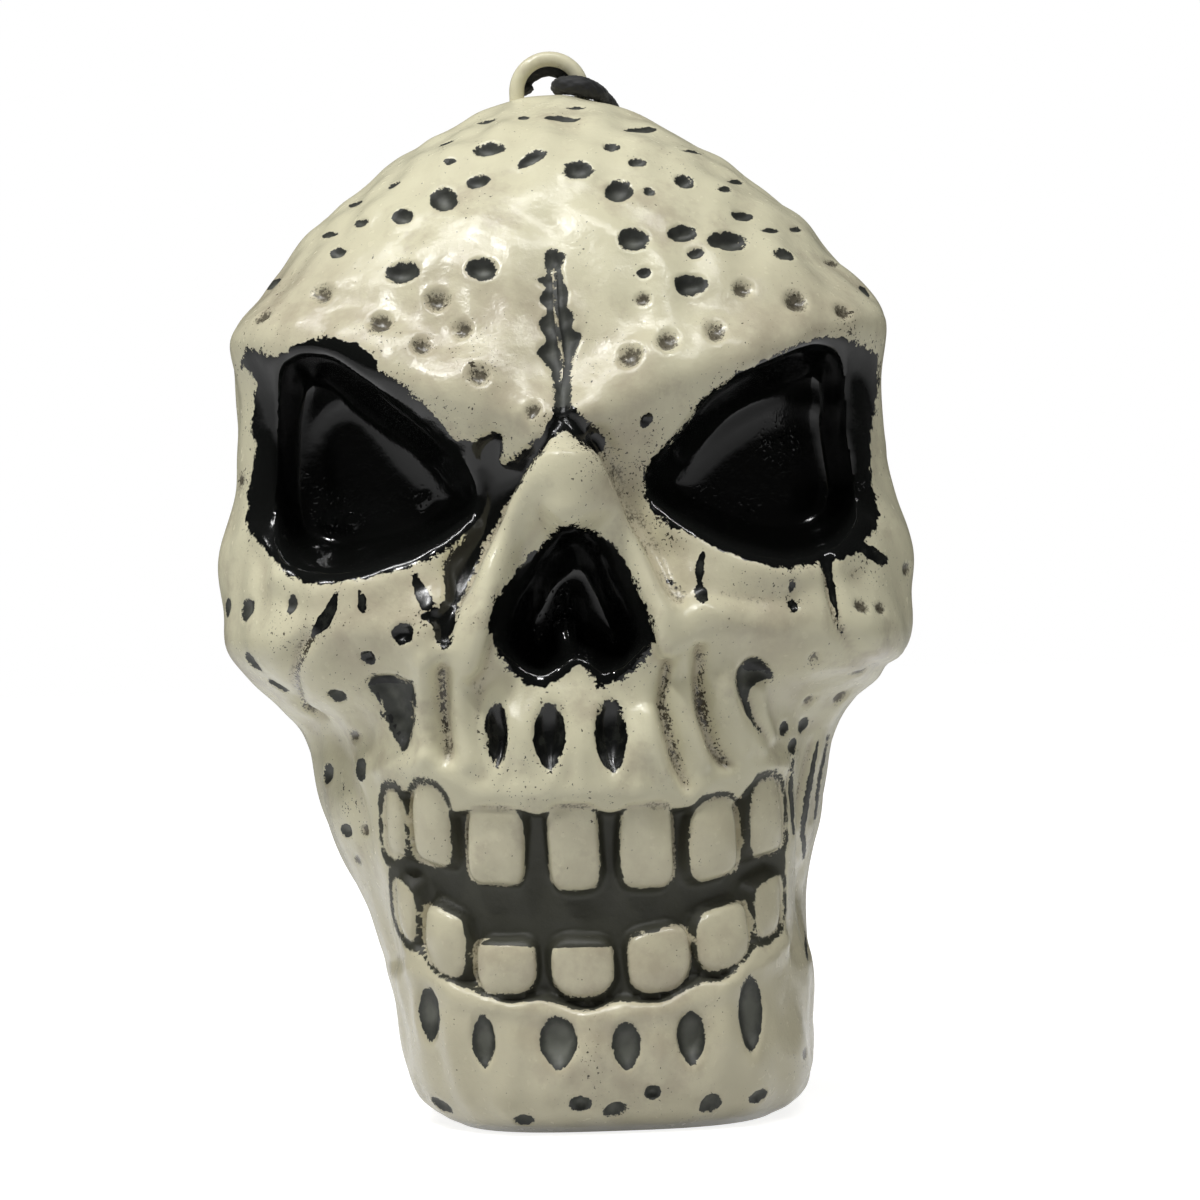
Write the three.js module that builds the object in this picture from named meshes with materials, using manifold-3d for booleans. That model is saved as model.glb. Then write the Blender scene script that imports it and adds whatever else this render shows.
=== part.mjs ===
// A hollow moulded skull for hanging up, about life size. Two shells meet at a seam over the crown and
// down both sides, six screws close them from behind, a loop is caught in the seam at the crown, and a
// black cord is tied round one leg of the loop. Millimetres, +Z up, and the face looks along -Y.

import * as THREE from 'three';
import { mergeVertices } from 'three/addons/utils/BufferGeometryUtils.js';
import Module from 'manifold-3d';

const wasm = await Module();
wasm.setup();

// Skull sizes
const skullHeight = 222; // flat base to crown
const skullHalfWidth = 70; // cranium at the seam, without brow and cheekbones
const faceDepth = 66; // seam to the front of the jaw
const backDepth = 76; // seam to the back of the head
const chinDrift = 7; // the sculpted chin leans this far to +X
const driftTop = 72; // the lean starts below this height
const frontSquareness = 2.25; // power of the sections' superellipse, 2 is an ellipse
const chinSquareness = 3; // the same at the base, in front
const squareTop = 85; // the front turns squarer below this height
const backSquareness = 2.1;
const wall = 2.6;
const clearance = 0.3; // between pieces that touch
const lipHeight = 3; // of the back shell's lip, past the seam
const lipThickness = 1.6;
const lipRoot = 1; // how far the lip's root is sunk into the back shell's wall

// Face recesses
const eyeFloorDepth = 46; // seam to the socket's floor beside the nose
const eyeFloorStart = 15; // distance from the middle at which that depth holds
const eyeFloorSlope = 0.54; // the floor runs back towards the temple
const eyePaneDrop = 1.5; // of the inner pane behind the socket's floor
const noseFloorDepth = 58; // seam to the nose's outer floor
const nosePocketDrop = 9;
const nosePocketInset = 3;
const mouthDepth = 4;
const toothInset = 0.8; // tooth faces behind the skull's outer surface
const slotDepth = 1.6;
const creaseDepth = 2.2; // beside the nose, where the ridges thicken the wall
const pitDepth = 1.8;

// Hanging loop
const loopTube = 3.3;
const loopWidth = 17.6; // over both legs
const loopRise = 10; // over the crown
const footLength = 22; // bar inside the crown
const footWidth = 7;
const footThickness = 2.4;
const footDrop = 2.2; // bar below the crown's inner face

// Screws and their bosses
const screwDiameter = 3;
const screwHeadDiameter = 6.2;
const screwHeadHeight = 2.2;
const screwGrip = 14; // length in the face shell
const screwSeat = 6; // seam to the seat under the head
const bossDiameter = 9.6;
const bossMargin = 1; // boss to the cavity's side
const screwHeights = [22, 95, 163];

// Cord
const cordDiameter = 3.6;
const knotDiameter = 9.5; // stopper knot at the cord's end

// Facets
const frontColumns = 48;
const backColumns = 18;
const ringsPerStation = 2.5;
const floorColumns = 20; // floors of the mouth and slots
const cavityColumns = 14;
const innerRingsPerStation = 1;
const roundSides = 10;
const tubeSides = 8;
const pitRings = 5;
const loopSteps = 20;
const cordSteps = 34;

// Outline of the skull from base to crown: height, half width, face depth and back depth,
// each as a share of the size it belongs to
const stations = [
  [0.0, 0.5, 0.833, 0.329],
  [0.0135, 0.572, 0.917, 0.388],
  [0.045, 0.629, 0.97, 0.42],
  [0.113, 0.65, 0.985, 0.434],
  [0.203, 0.688, 0.985, 0.467],
  [0.279, 0.764, 1.0, 0.526],
  [0.36, 0.822, 1.0, 0.63],
  [0.428, 0.888, 0.977, 0.75],
  [0.495, 0.93, 0.955, 0.868],
  [0.572, 0.971, 0.93, 0.96],
  [0.653, 0.986, 0.924, 1.0],
  [0.734, 0.975, 0.91, 0.967],
  [0.811, 0.9, 0.84, 0.875],
  [0.865, 0.78, 0.742, 0.757],
  [0.905, 0.629, 0.63, 0.63],
  [0.936, 0.5, 0.515, 0.513],
  [0.971, 0.307, 0.333, 0.316],
  [0.9937, 0.143, 0.15, 0.145],
  [1.0, 0.0, 0.0, 0.0],
];

// Bony ridges on both halves of the face: ends as [distance from the middle, height], width and rise
const ridges = [
  { from: [10, 151], to: [58, 170], width: 9, rise: 6.5 }, // brow
  { from: [30, 107], to: [66, 115], width: 14, rise: 10 }, // cheekbone
  { from: [52, 101], to: [66, 101], width: 8, rise: 6.5 }, // lower edge of the cheekbone
  { from: [66, 168], to: [66, 128], width: 9, rise: 3 }, // outer rim of the socket
  { from: [0, 149], to: [0, 131], width: 7, rise: 8 }, // bridge of the nose
  { from: [5, 135], to: [20, 103], width: 6, rise: 4 }, // side of the nose
  { from: [0, 80], to: [22, 78], width: 16, rise: 2 }, // upper jaw
  { from: [0, 13], to: [26, 13], width: 9, rise: 1.2 }, // chin
];
// Soft forms on top of them, as [x, z, half width, half height, rise], sunk where the rise is negative
const swells = [
  [-46, 86, 8, 7, -2], [47, 88, 8, 8, -2], [-64, 104, 7, 7, 1.4], [-49.5, 98.5, 7, 9, 2], [66, 106, 7, 8, 1.6],
  [49, 102, 6, 6, 1.3], [-16, 160, 9, 8, 1.2], [18, 160, 9, 8, 1.2], [-45, 178, 12, 7, 1.4], [46, 177, 12, 7, 1.6],
  [2, 134, 6, 8, 2.4],
];
const ridgeFade = 18; // ridges and soft forms fade out over this depth before the seam

// Openings sculpted in the face, as points [x, z] on smooth closed curves
const leftEye = [
  [-62, 158], [-56, 165], [-48, 166], [-38, 162], [-29, 152], [-22, 144.5], [-14, 143],
  [-18, 130], [-31, 121], [-47, 117.5], [-58, 120.5], [-62.5, 130],
];
const leftPane = [[-54, 144], [-45, 154], [-33, 144.5], [-22.5, 132], [-33, 127.5], [-47, 124.5], [-54, 128]];
const rightEye = [
  [18, 136], [28, 149.5], [41, 158.5], [52, 162.5], [60, 163], [64, 157], [63.5, 131], [58, 121],
  [46, 117.5], [33, 121], [23, 127.5],
];
const rightPane = [[23, 133.5], [34, 143], [43, 149.5], [54, 149], [57.5, 140], [56.5, 130], [46, 125.5], [33, 127.5]];
const nose = [
  [1, 127], [8, 124.5], [13, 119], [17, 109], [17, 100], [10, 93.5], [5, 95.5], [1, 97], [-5.5, 93.5],
  [-12, 97], [-15, 105], [-12.5, 116], [-5.5, 123.5],
];
const mouth = [
  [-43.5, 66], [-40, 75], [-30, 75.5], [-16, 69.5], [0, 69.5], [16, 69], [30, 70.5], [42, 74.5], [47, 66],
  [46, 45], [40, 37], [30, 31.5], [17, 27.5], [1, 26.5], [-15, 28], [-27, 33], [-36, 40], [-41, 52],
];
const suture = [[-1, 184], [2.2, 178], [3, 165], [3, 149], [0, 149], [-1.5, 160], [-2.5, 172]];
const noseCrease = [
  [0, 147.5], [-7, 137], [-16, 124], [-21.5, 112], [-24, 103], [-27.5, 106], [-25, 116], [-20, 127], [-12, 140],
];
// Teeth and slots as [left edge, right edge, bottom, top]
const upperTeeth = [
  [-41.5, -36.3, 59, 74], [-35.3, -25, 56, 74], [-22.8, -9.8, 52, 69], [-5.6, 5.6, 50.5, 69],
  [9.4, 21.2, 51, 68.5], [24.2, 35.4, 51.5, 69.5], [36.4, 44.8, 55.5, 73],
];
const lowerTeeth = [
  [-39, -33.4, 40.5, 54], [-32.3, -22.8, 33.5, 48], [-21, -8.4, 29.5, 41.5], [-5.4, 7.5, 28.5, 41],
  [10.4, 23.8, 29, 43], [25, 36, 33, 46.5], [37.2, 44, 38.5, 51],
];
const slots = [
  [-17.3, -12.7, 77, 90.5], [-7.2, -0.8, 76, 90], [5.3, 11.7, 75, 90], [-33.8, -29.2, 19, 31],
  [-22, -18, 14.5, 25.5], [-8.2, -0.8, 14, 25], [6.7, 12.3, 13.5, 23.5], [20, 26, 14, 25], [33, 38, 15.5, 31.5],
  [-40, -32.5, 82.5, 96.5], [35, 40, 82, 97.5],
];
// Main pits as [x, z, width, height], as they look along Y
const frontPits = [
  [-13, 208, 6.5, 3.5], [-23, 197, 5.5, 6], [-31.5, 193.5, 4.5, 3.5], [-32, 181.5, 7, 4.5], [-15, 181, 6.5, 4.5],
  [6, 202.5, 6, 4], [14, 197, 6, 4.5], [28, 199.5, 4, 3.5], [17, 186.5, 6.5, 4.5], [36.5, 186, 7.5, 4.5],
  [28, 176.5, 6.5, 4.5],
];
const backPits = [
  [-22, 201, 6, 4], [3, 198, 7, 5], [-40, 183, 6, 5], [-14, 181, 7, 6], [33, 186, 6, 5], [-52, 163, 5, 6],
  [-29, 160, 7, 7], [-4, 163, 6, 6], [41, 164, 7, 6], [-42, 139, 6, 7], [-17, 141, 7, 7], [32, 142, 6, 6],
  [53, 141, 5, 6], [-54, 117, 5, 6], [-28, 116, 7, 6], [-3, 119, 6, 7], [44, 118, 7, 7], [-38, 95, 6, 6],
  [-13, 94, 7, 6], [33, 94, 6, 7], [-24, 73, 6, 6], [4, 74, 6, 6], [26, 70, 5, 6],
];

// Route of the cord from the knot on the loop over the crown and down behind the head
const cordRoute = [
  [11.4, 4.4, 222.1], [12.7, 8, 221.2], [13.7, 12, 220], [14.6, 17, 218.4], [15.4, 23, 216], [16, 30, 213],
  [16.6, 37, 209.6], [17, 45, 204], [17.3, 52.6, 197.6], [17.5, 59.8, 190.4], [17.5, 66, 182], [17.5, 70.5, 173], [17.5, 73.8, 163.5],
  [17.5, 75.8, 154], [17.4, 76.4, 145], [17.3, 76.6, 136], [17.2, 76.7, 127], [17.1, 76.7, 118],
  [17, 76.7, 109], [17, 76.7, 101],
];

// Finishes
const boneColour = 0xddd7ba;
const cordColour = 0x1d1e1d;
const screwColour = 0x8f8f8a;
const bone = () => new THREE.MeshStandardMaterial({ color: boneColour, roughness: 0.45, metalness: 0 });
const cordBlack = () => new THREE.MeshStandardMaterial({ color: cordColour, roughness: 0.7, metalness: 0 });
const screwSteel = () => new THREE.MeshStandardMaterial({ color: screwColour, roughness: 0.35, metalness: 0.9 });

const reach = 4 * (skullHeight + backDepth); // larger than the whole object

// Solids and booleans
function solid(geometry) {
  const plain = geometry.clone();
  plain.deleteAttribute('normal');
  plain.deleteAttribute('uv');
  const merged = mergeVertices(plain, 1e-4);
  const corners = Array.from(merged.index.array);
  const kept = [];
  for (let i = 0; i < corners.length; i += 3) {
    const [a, b, c] = corners.slice(i, i + 3);
    if (a !== b && b !== c && c !== a) kept.push(a, b, c);
  }
  const vertProperties = new Float32Array(merged.attributes.position.array);
  return new wasm.Manifold(new wasm.Mesh({ numProp: 3, vertProperties, triVerts: new Uint32Array(kept) }));
}

function toGeometry(body) {
  const mesh = body.getMesh();
  const geometry = new THREE.BufferGeometry();
  geometry.setAttribute('position', new THREE.BufferAttribute(new Float32Array(mesh.vertProperties), 3));
  geometry.setIndex(new THREE.BufferAttribute(new Uint32Array(mesh.triVerts), 1));
  geometry.computeVertexNormals();
  return geometry;
}

const joined = (bodies) => bodies.reduce((all, body) => all.add(body));

// Skull surface
function smoothStep(from, to, value) {
  const share = THREE.MathUtils.clamp((value - from) / (to - from), 0, 1);
  return share * share * (3 - 2 * share);
}

function stationAt(index) {
  const last = stations.length - 1;
  if (index < 0) return stations[0].map((value, i) => 2 * value - stations[1][i]);
  // Beyond the crown the outline runs down the other side, so that the crown is round
  if (index > last) return stations[last - 1].map((value, i) => (i === 0 ? value : -value));
  return stations[index];
}

function sectionAt(along) {
  const start = Math.min(Math.floor(along), stations.length - 2);
  const t = along - start;
  const [a, b, c, d] = [-1, 0, 1, 2].map((step) => stationAt(start + step));
  const shares = b.map((value, i) => value + 0.5 * t * (c[i] - a[i]
    + t * (2 * a[i] - 5 * value + 4 * c[i] - d[i] + t * (3 * (value - c[i]) + d[i] - a[i]))));
  return {
    height: shares[0] * skullHeight,
    width: shares[1] * skullHalfWidth,
    face: shares[2] * faceDepth,
    back: shares[3] * backDepth,
  };
}

function sectionAtHeight(height) {
  let low = 0;
  let high = stations.length - 1;
  while (high - low > 1e-4) {
    const middle = (low + high) / 2;
    if (sectionAt(middle).height < height) low = middle;
    else high = middle;
  }
  return sectionAt(low);
}

const driftAt = (height) => chinDrift * (1 - smoothStep(0, driftTop, height));

function ridgeRise(x, z) {
  let rise = 0;
  for (const ridge of ridges) {
    for (const side of [-1, 1]) {
      const from = new THREE.Vector2(side * ridge.from[0], ridge.from[1]);
      const run = new THREE.Vector2(side * ridge.to[0], ridge.to[1]).sub(from);
      const offset = new THREE.Vector2(x, z).sub(from);
      const share = THREE.MathUtils.clamp(offset.dot(run) / run.lengthSq(), 0, 1);
      const distance = offset.addScaledVector(run, -share).length();
      const centred = ridge.from[0] === 0 && ridge.to[0] === 0;
      rise += (centred ? 0.5 : 1) * ridge.rise * Math.exp(-((distance / ridge.width) ** 2));
    }
  }
  for (const [swellX, swellZ, halfWide, halfHigh, swellRise] of swells) {
    rise += swellRise * Math.exp(-(((x - swellX) / halfWide) ** 2) - ((z - swellZ) / halfHigh) ** 2);
  }
  return rise;
}

function skullPoint(section, angle, inset, ridged) {
  const power = (value, squareness) => Math.sign(value) * Math.abs(value) ** (2 / squareness);
  const front = Math.sin(angle) < 0;
  const squareShare = 1 - smoothStep(0, squareTop, section.height);
  const frontPower = frontSquareness + (chinSquareness - frontSquareness) * squareShare;
  const squareness = front ? frontPower : backSquareness;
  const across = Math.max(section.width - inset, 0);
  const deep = Math.max((front ? section.face : section.back) - inset, 0);
  const z = inset + section.height * (1 - 2 * inset / skullHeight);
  const x = across * power(Math.cos(angle), squareness);
  const y = deep * power(Math.sin(angle), squareness);
  const point = new THREE.Vector3(x, y, z);
  if (ridged && front && across > 0) {
    const outward = new THREE.Vector3(x / across ** 2, y / deep ** 2, 0).normalize();
    point.addScaledVector(outward, ridgeRise(x, z) * smoothStep(0, ridgeFade, -y));
  }
  point.x += driftAt(z);
  return point;
}

function skullSolid(inset, ridged, front, back, perStation) {
  const angles = [];
  for (let i = 0; i < front; i += 1) angles.push(Math.PI * (1 + i / front));
  for (let i = 0; i < back; i += 1) angles.push(Math.PI * (i / back));
  const rings = Math.round((stations.length - 1) * perStation);
  const points = [];
  for (let ring = 0; ring < rings; ring += 1) {
    const section = sectionAt(ring * (stations.length - 1) / rings);
    points.push(...angles.map((angle) => skullPoint(section, angle, inset, ridged)));
  }
  const crown = points.push(new THREE.Vector3(0, 0, skullHeight - inset)) - 1;
  const base = points.push(new THREE.Vector3(driftAt(inset), 0, inset)) - 1;
  const corners = [];
  const count = angles.length;
  for (let i = 0; i < count; i += 1) {
    const next = (i + 1) % count;
    for (let ring = 0; ring < rings - 1; ring += 1) {
      const low = ring * count;
      const high = low + count;
      corners.push(low + i, low + next, high + next, low + i, high + next, high + i);
    }
    const top = (rings - 1) * count;
    corners.push(top + i, top + next, crown, next, i, base);
  }
  return solid(new THREE.BufferGeometry().setFromPoints(points).setIndex(corners));
}

const outerSkull = (inset) => skullSolid(inset, true, frontColumns, backColumns, ringsPerStation);
const floorSkull = (inset) => skullSolid(inset, true, floorColumns, backColumns, innerRingsPerStation);
const cavitySkull = (inset) => skullSolid(inset, false, cavityColumns, cavityColumns, innerRingsPerStation);

// Outlines and prisms along Y
function smoothOutline(points, perPoint = 2) {
  const curve = new THREE.CatmullRomCurve3(points.map(([x, z]) => new THREE.Vector3(x, z, 0)), true);
  return curve.getPoints(points.length * perPoint).slice(0, -1).map((p) => new THREE.Vector2(p.x, p.y));
}

function grown(outline, amount) {
  const turn = THREE.ShapeUtils.area(outline) > 0 ? 1 : -1;
  return outline.map((point, i) => {
    const before = outline.at(i - 1);
    const after = outline[(i + 1) % outline.length];
    const along = after.clone().sub(before).normalize();
    return point.clone().add(new THREE.Vector2(along.y, -along.x).multiplyScalar(turn * amount));
  });
}

function roundedOutline([left, right, bottom, top], power) {
  const points = [];
  for (let i = 0; i < roundSides; i += 1) {
    const angle = 2 * Math.PI * (i + 0.5) / roundSides;
    const part = (value) => Math.sign(value) * Math.abs(value) ** (2 / power) / 2;
    points.push(new THREE.Vector2(
      (left + right) / 2 + (right - left) * part(Math.cos(angle)),
      (bottom + top) / 2 + (top - bottom) * part(Math.sin(angle)),
    ));
  }
  return points;
}

function prism(outline, from, to) {
  const geometry = new THREE.ExtrudeGeometry(new THREE.Shape(outline), { depth: to - from, bevelEnabled: false });
  return solid(geometry.rotateX(Math.PI / 2).translate(0, to, 0));
}

function rod(diameter, x, z, from, to) {
  const geometry = new THREE.CylinderGeometry(diameter / 2, diameter / 2, to - from, roundSides);
  return solid(geometry.translate(x, (from + to) / 2, z));
}

function halfSpace(from, to) {
  return solid(new THREE.BoxGeometry(reach, to - from, reach).translate(0, (from + to) / 2, 0));
}

// Everything in front of a floor that runs back towards the temple on one side of the face
function inFrontOfFloor(side, depth) {
  const slab = new THREE.BoxGeometry(reach, reach, reach).translate(0, -reach / 2, 0);
  slab.rotateZ(side * Math.atan(eyeFloorSlope));
  return solid(slab.translate(side * eyeFloorStart, -depth, 0));
}

// Recesses of the face, with the outlines grown by a margin and the floors moved back by it
function faceRecesses(margin) {
  const eye = (points, side, depth) => prism(grown(smoothOutline(points), margin), -reach / 2, 0)
    .intersect(inFrontOfFloor(side, depth - margin));
  return joined([
    eye(leftEye, -1, eyeFloorDepth),
    eye(leftPane, -1, eyeFloorDepth - eyePaneDrop),
    eye(rightEye, 1, eyeFloorDepth),
    eye(rightPane, 1, eyeFloorDepth - eyePaneDrop),
    prism(grown(smoothOutline(nose), margin), -reach / 2, margin - noseFloorDepth),
    prism(grown(smoothOutline(nose), margin - nosePocketInset), -reach / 2, margin + nosePocketDrop - noseFloorDepth),
  ]);
}

function mouthRecess(margin) {
  const opening = prism(grown(smoothOutline(mouth), margin), -reach / 2, -ridgeFade / 2);
  return opening.subtract(floorSkull(mouthDepth + margin));
}

// Place on the skull's outside, in front or behind, that shows at x and z along Y, with the directions round the
// skull and up it there
function outsideAt(x, z, behind) {
  const at = (angle, height) => skullPoint(sectionAtHeight(height), angle, 0, true);
  let low = behind ? 0 : Math.PI;
  let high = low + Math.PI;
  while (high - low > 1e-4) {
    const angle = (low + high) / 2;
    if (at(angle, z).x > x === behind) low = angle;
    else high = angle;
  }
  const place = at(low, z);
  const around = at(low + 0.01, z).sub(place).normalize();
  const upward = at(low, z + 0.5).sub(place).normalize();
  return { place, around, upward };
}

// Round dimples in the outside, widened where the outside turns away from the view
function pitCuts(pits, behind) {
  const seen = (direction) => Math.max(Math.hypot(direction.x, direction.z), 0.35);
  return joined(pits.map(([x, z, width, height]) => {
    const { place, around, upward } = outsideAt(x, z, behind);
    const outward = around.clone().cross(upward).normalize();
    const aside = outward.clone().cross(upward).normalize();
    const frame = new THREE.Matrix4().makeBasis(aside, outward, aside.clone().cross(outward)).setPosition(place);
    const ball = new THREE.SphereGeometry(1, roundSides, pitRings);
    ball.scale(width / 2 / seen(around), pitDepth, height / 2 / seen(upward));
    return solid(ball.applyMatrix4(frame));
  }));
}

// Loop, with every face moved out by a margin
function loopSolid(margin) {
  const half = (loopWidth - loopTube) / 2;
  const footTop = skullHeight - wall - footDrop;
  const start = footTop - footThickness / 2;
  const bend = skullHeight + loopRise - loopTube / 2 - half;
  const path = new THREE.CurvePath();
  const corner = (x, z) => new THREE.Vector3(x, 0, z);
  const round = half * 0.5523; // handle length of a quarter circle
  path.add(new THREE.LineCurve3(corner(-half, start), corner(-half, bend)));
  path.add(new THREE.CubicBezierCurve3(
    corner(-half, bend), corner(-half, bend + round), corner(-round, bend + half), corner(0, bend + half)));
  path.add(new THREE.CubicBezierCurve3(
    corner(0, bend + half), corner(round, bend + half), corner(half, bend + round), corner(half, bend)));
  path.add(new THREE.LineCurve3(corner(half, bend), corner(half, start)));
  const ring = new THREE.Shape().absarc(0, 0, loopTube / 2 + margin, 0, 2 * Math.PI);
  const arch = new THREE.ExtrudeGeometry(ring, {
    steps: loopSteps, curveSegments: roundSides / 2, extrudePath: path, bevelEnabled: false });
  const foot = new THREE.BoxGeometry(footLength + 2 * margin, footWidth + 2 * margin, footThickness + 2 * margin);
  return solid(arch).add(solid(foot.translate(0, 0, start)));
}

// Screw places on both sides, as near to the seam's edge as the bosses fit
const screwPlaces = screwHeights.flatMap((z) => [-1, 1].map((side) => {
  const room = sectionAtHeight(z).width - wall - bossMargin - bossDiameter / 2;
  return { x: driftAt(z) + side * room, z };
}));
const screwHole = screwDiameter + 2 * clearance;
const seam = clearance / 2;

// Face shell
function faceShell() {
  const cuts = faceRecesses(0);
  const teeth = joined([...upperTeeth, ...lowerTeeth].map(
    (tooth) => prism(roundedOutline(tooth, 3.2), -reach / 2, -ridgeFade / 2)));
  const slotCuts = joined(slots.map((slot) => prism(roundedOutline(slot, 2), -reach / 2, 0)));
  const sutureCut = prism(smoothOutline(suture), -reach / 2, 0).subtract(outerSkull(slotDepth));
  const creaseCut = prism(smoothOutline(noseCrease), -reach / 2, 0).subtract(outerSkull(creaseDepth));
  const outside = outerSkull(0).subtract(cuts).subtract(mouthRecess(0)).subtract(slotCuts.subtract(floorSkull(slotDepth)))
    .subtract(sutureCut).subtract(creaseCut).subtract(pitCuts(frontPits, false))
    .add(teeth.intersect(floorSkull(toothInset)));
  const cavity = cavitySkull(wall).subtract(faceRecesses(wall)).subtract(mouthRecess(wall));
  const bosses = joined(screwPlaces.map(({ x, z }) => rod(bossDiameter, x, z, -reach / 2, 0)));
  const holes = joined(screwPlaces.map(({ x, z }) => rod(screwHole, x, z, -screwGrip - clearance, reach / 2)));
  return outside.subtract(cavity.subtract(bosses)).subtract(holes)
    .intersect(halfSpace(-reach / 2, -seam)).subtract(loopSolid(clearance));
}

// Back shell, with the lip that sits inside the face shell's edge
function backShell() {
  const inside = wall + clearance;
  const wells = joined(screwPlaces.map(
    ({ x, z }) => rod(screwHeadDiameter + 2 * clearance, x, z, screwSeat, reach / 2)));
  const holes = joined(screwPlaces.map(({ x, z }) => rod(screwHole, x, z, -reach / 2, reach / 2)));
  const bosses = joined(screwPlaces.map(({ x, z }) => rod(bossDiameter, x, z, -reach / 2, reach / 2)));
  const hollow = cavitySkull(inside + lipThickness);
  const lip = cavitySkull(inside).intersect(halfSpace(-lipHeight, lipHeight))
    .add(cavitySkull(wall - lipRoot).intersect(halfSpace(seam, lipHeight)))
    .subtract(hollow)
    .subtract(joined(screwPlaces.map(({ x, z }) => rod(bossDiameter + 2 * clearance, x, z, -reach / 2, seam))))
    .subtract(faceRecesses(wall + clearance));
  const half = outerSkull(0).subtract(pitCuts(backPits, true)).subtract(cavitySkull(wall).subtract(bosses))
    .intersect(halfSpace(seam, reach / 2));
  return half.add(lip).subtract(wells).subtract(holes).subtract(loopSolid(clearance));
}

function screw() {
  const shank = screwDiameter / 2;
  const head = screwHeadDiameter / 2;
  const seat = screwSeat + clearance;
  const profile = [
    [0, -screwGrip], [shank * 0.4, -screwGrip], [shank, shank * 1.5 - screwGrip], [shank, seat], [head, seat],
    [head, seat + screwHeadHeight * 0.4], [head * 0.6, seat + screwHeadHeight * 0.9], [0, seat + screwHeadHeight],
  ];
  return new THREE.LatheGeometry(profile.map(([r, y]) => new THREE.Vector2(r, y)), roundSides);
}

// Turn of cord round the loop's leg on the +X side, with the knot beside it
function cordKnot() {
  const leg = (loopWidth - loopTube) / 2;
  const turn = loopTube / 2 + clearance + cordDiameter / 2;
  const lift = skullHeight + cordDiameter / 2;
  const ring = new THREE.TorusGeometry(turn, cordDiameter / 2, tubeSides, 2 * roundSides);
  const knot = new THREE.SphereGeometry(1, roundSides, tubeSides).scale(3.1, 2.7, 2.7);
  const knotAt = [leg + turn * 0.75, turn * 0.5, lift + 0.6];
  return solid(ring.translate(leg, 0, lift + 0.4)).add(solid(knot.translate(...knotAt)))
    .subtract(outerSkull(-clearance)).subtract(loopSolid(clearance)).subtract(solid(cordTube(clearance)));
}

// Free stretch of the cord, with its side and its upper end moved out by a margin
function cordTube(margin) {
  const points = cordRoute.map((point) => new THREE.Vector3(...point));
  const upward = points[0].clone().sub(points[1]).normalize();
  points[0].addScaledVector(upward, margin);
  const ring = new THREE.Shape().absarc(0, 0, cordDiameter / 2 + margin, 0, 2 * Math.PI);
  return new THREE.ExtrudeGeometry(ring, {
    steps: cordSteps, curveSegments: tubeSides / 2, extrudePath: new THREE.CatmullRomCurve3(points), bevelEnabled: false });
}

function endKnot() {
  const [x, y, z] = cordRoute.at(-1);
  const height = 1.2 * knotDiameter;
  const ball = new THREE.SphereGeometry(1, roundSides, tubeSides).scale(knotDiameter / 2, knotDiameter / 2, height / 2);
  const flat = solid(ball.translate(x, y, z - height / 2))
    .intersect(solid(new THREE.BoxGeometry(reach, reach, reach).translate(0, 0, z - clearance - reach / 2)));
  return flat;
}

// Assembly
const assembly = new THREE.Group();

function place(name, geometry, material) {
  const mesh = new THREE.Mesh(geometry, material);
  mesh.name = name;
  assembly.add(mesh);
  return mesh;
}

const faceMesh = place('face_shell', toGeometry(faceShell()), bone());
const backMesh = place('back_shell', toGeometry(backShell()), bone());
place('hanging_loop', toGeometry(loopSolid(0)), bone());
screwPlaces.forEach(({ x, z }, i) => {
  const level = ['lower', 'middle', 'upper'][Math.floor(i / 2)];
  const side = x < 0 ? 'left' : 'right';
  place(`shell_screw_${level}_${side}`, screw(), screwSteel()).position.set(x, 0, z);
});
place('cord_knot', toGeometry(cordKnot()), cordBlack());
place('hang_cord', cordTube(0), cordBlack());
place('cord_end_knot', toGeometry(endKnot()), cordBlack());

// The origin lies under the middle of the shells' box, on the flat base
const box = new THREE.Box3().setFromObject(faceMesh).union(new THREE.Box3().setFromObject(backMesh));
const middle = box.getCenter(new THREE.Vector3());
assembly.position.set(-middle.x, -middle.y, -box.min.z);

export default assembly;
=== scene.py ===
"""A painted, hollow plastic skull in two shells, with its hanging loop, screws and tied cord.

Shapes are in millimetres in the skull's own frame: the seam is the plane y = 0, the face looks along
-Y, +X is on the right of someone who looks at the face, and the base lies at z = 0. They turn into
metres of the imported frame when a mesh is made.
"""

import math
from collections import namedtuple

import bpy
import numpy as np
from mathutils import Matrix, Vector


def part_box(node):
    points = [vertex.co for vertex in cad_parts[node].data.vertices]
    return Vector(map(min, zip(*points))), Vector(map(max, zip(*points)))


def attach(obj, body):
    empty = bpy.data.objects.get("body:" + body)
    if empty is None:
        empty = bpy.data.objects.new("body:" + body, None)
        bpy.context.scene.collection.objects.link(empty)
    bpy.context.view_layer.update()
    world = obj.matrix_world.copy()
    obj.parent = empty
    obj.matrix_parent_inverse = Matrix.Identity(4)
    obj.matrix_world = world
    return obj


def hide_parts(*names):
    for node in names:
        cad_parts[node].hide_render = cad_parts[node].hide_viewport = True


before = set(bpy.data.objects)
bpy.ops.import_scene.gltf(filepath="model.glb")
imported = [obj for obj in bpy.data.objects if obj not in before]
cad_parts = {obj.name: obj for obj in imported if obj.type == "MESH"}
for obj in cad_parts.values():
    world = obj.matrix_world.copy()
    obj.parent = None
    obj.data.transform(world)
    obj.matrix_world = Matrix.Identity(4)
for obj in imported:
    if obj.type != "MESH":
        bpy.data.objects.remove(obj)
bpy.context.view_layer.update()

MM = 0.001
RANDOM_SEED = 31

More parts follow.
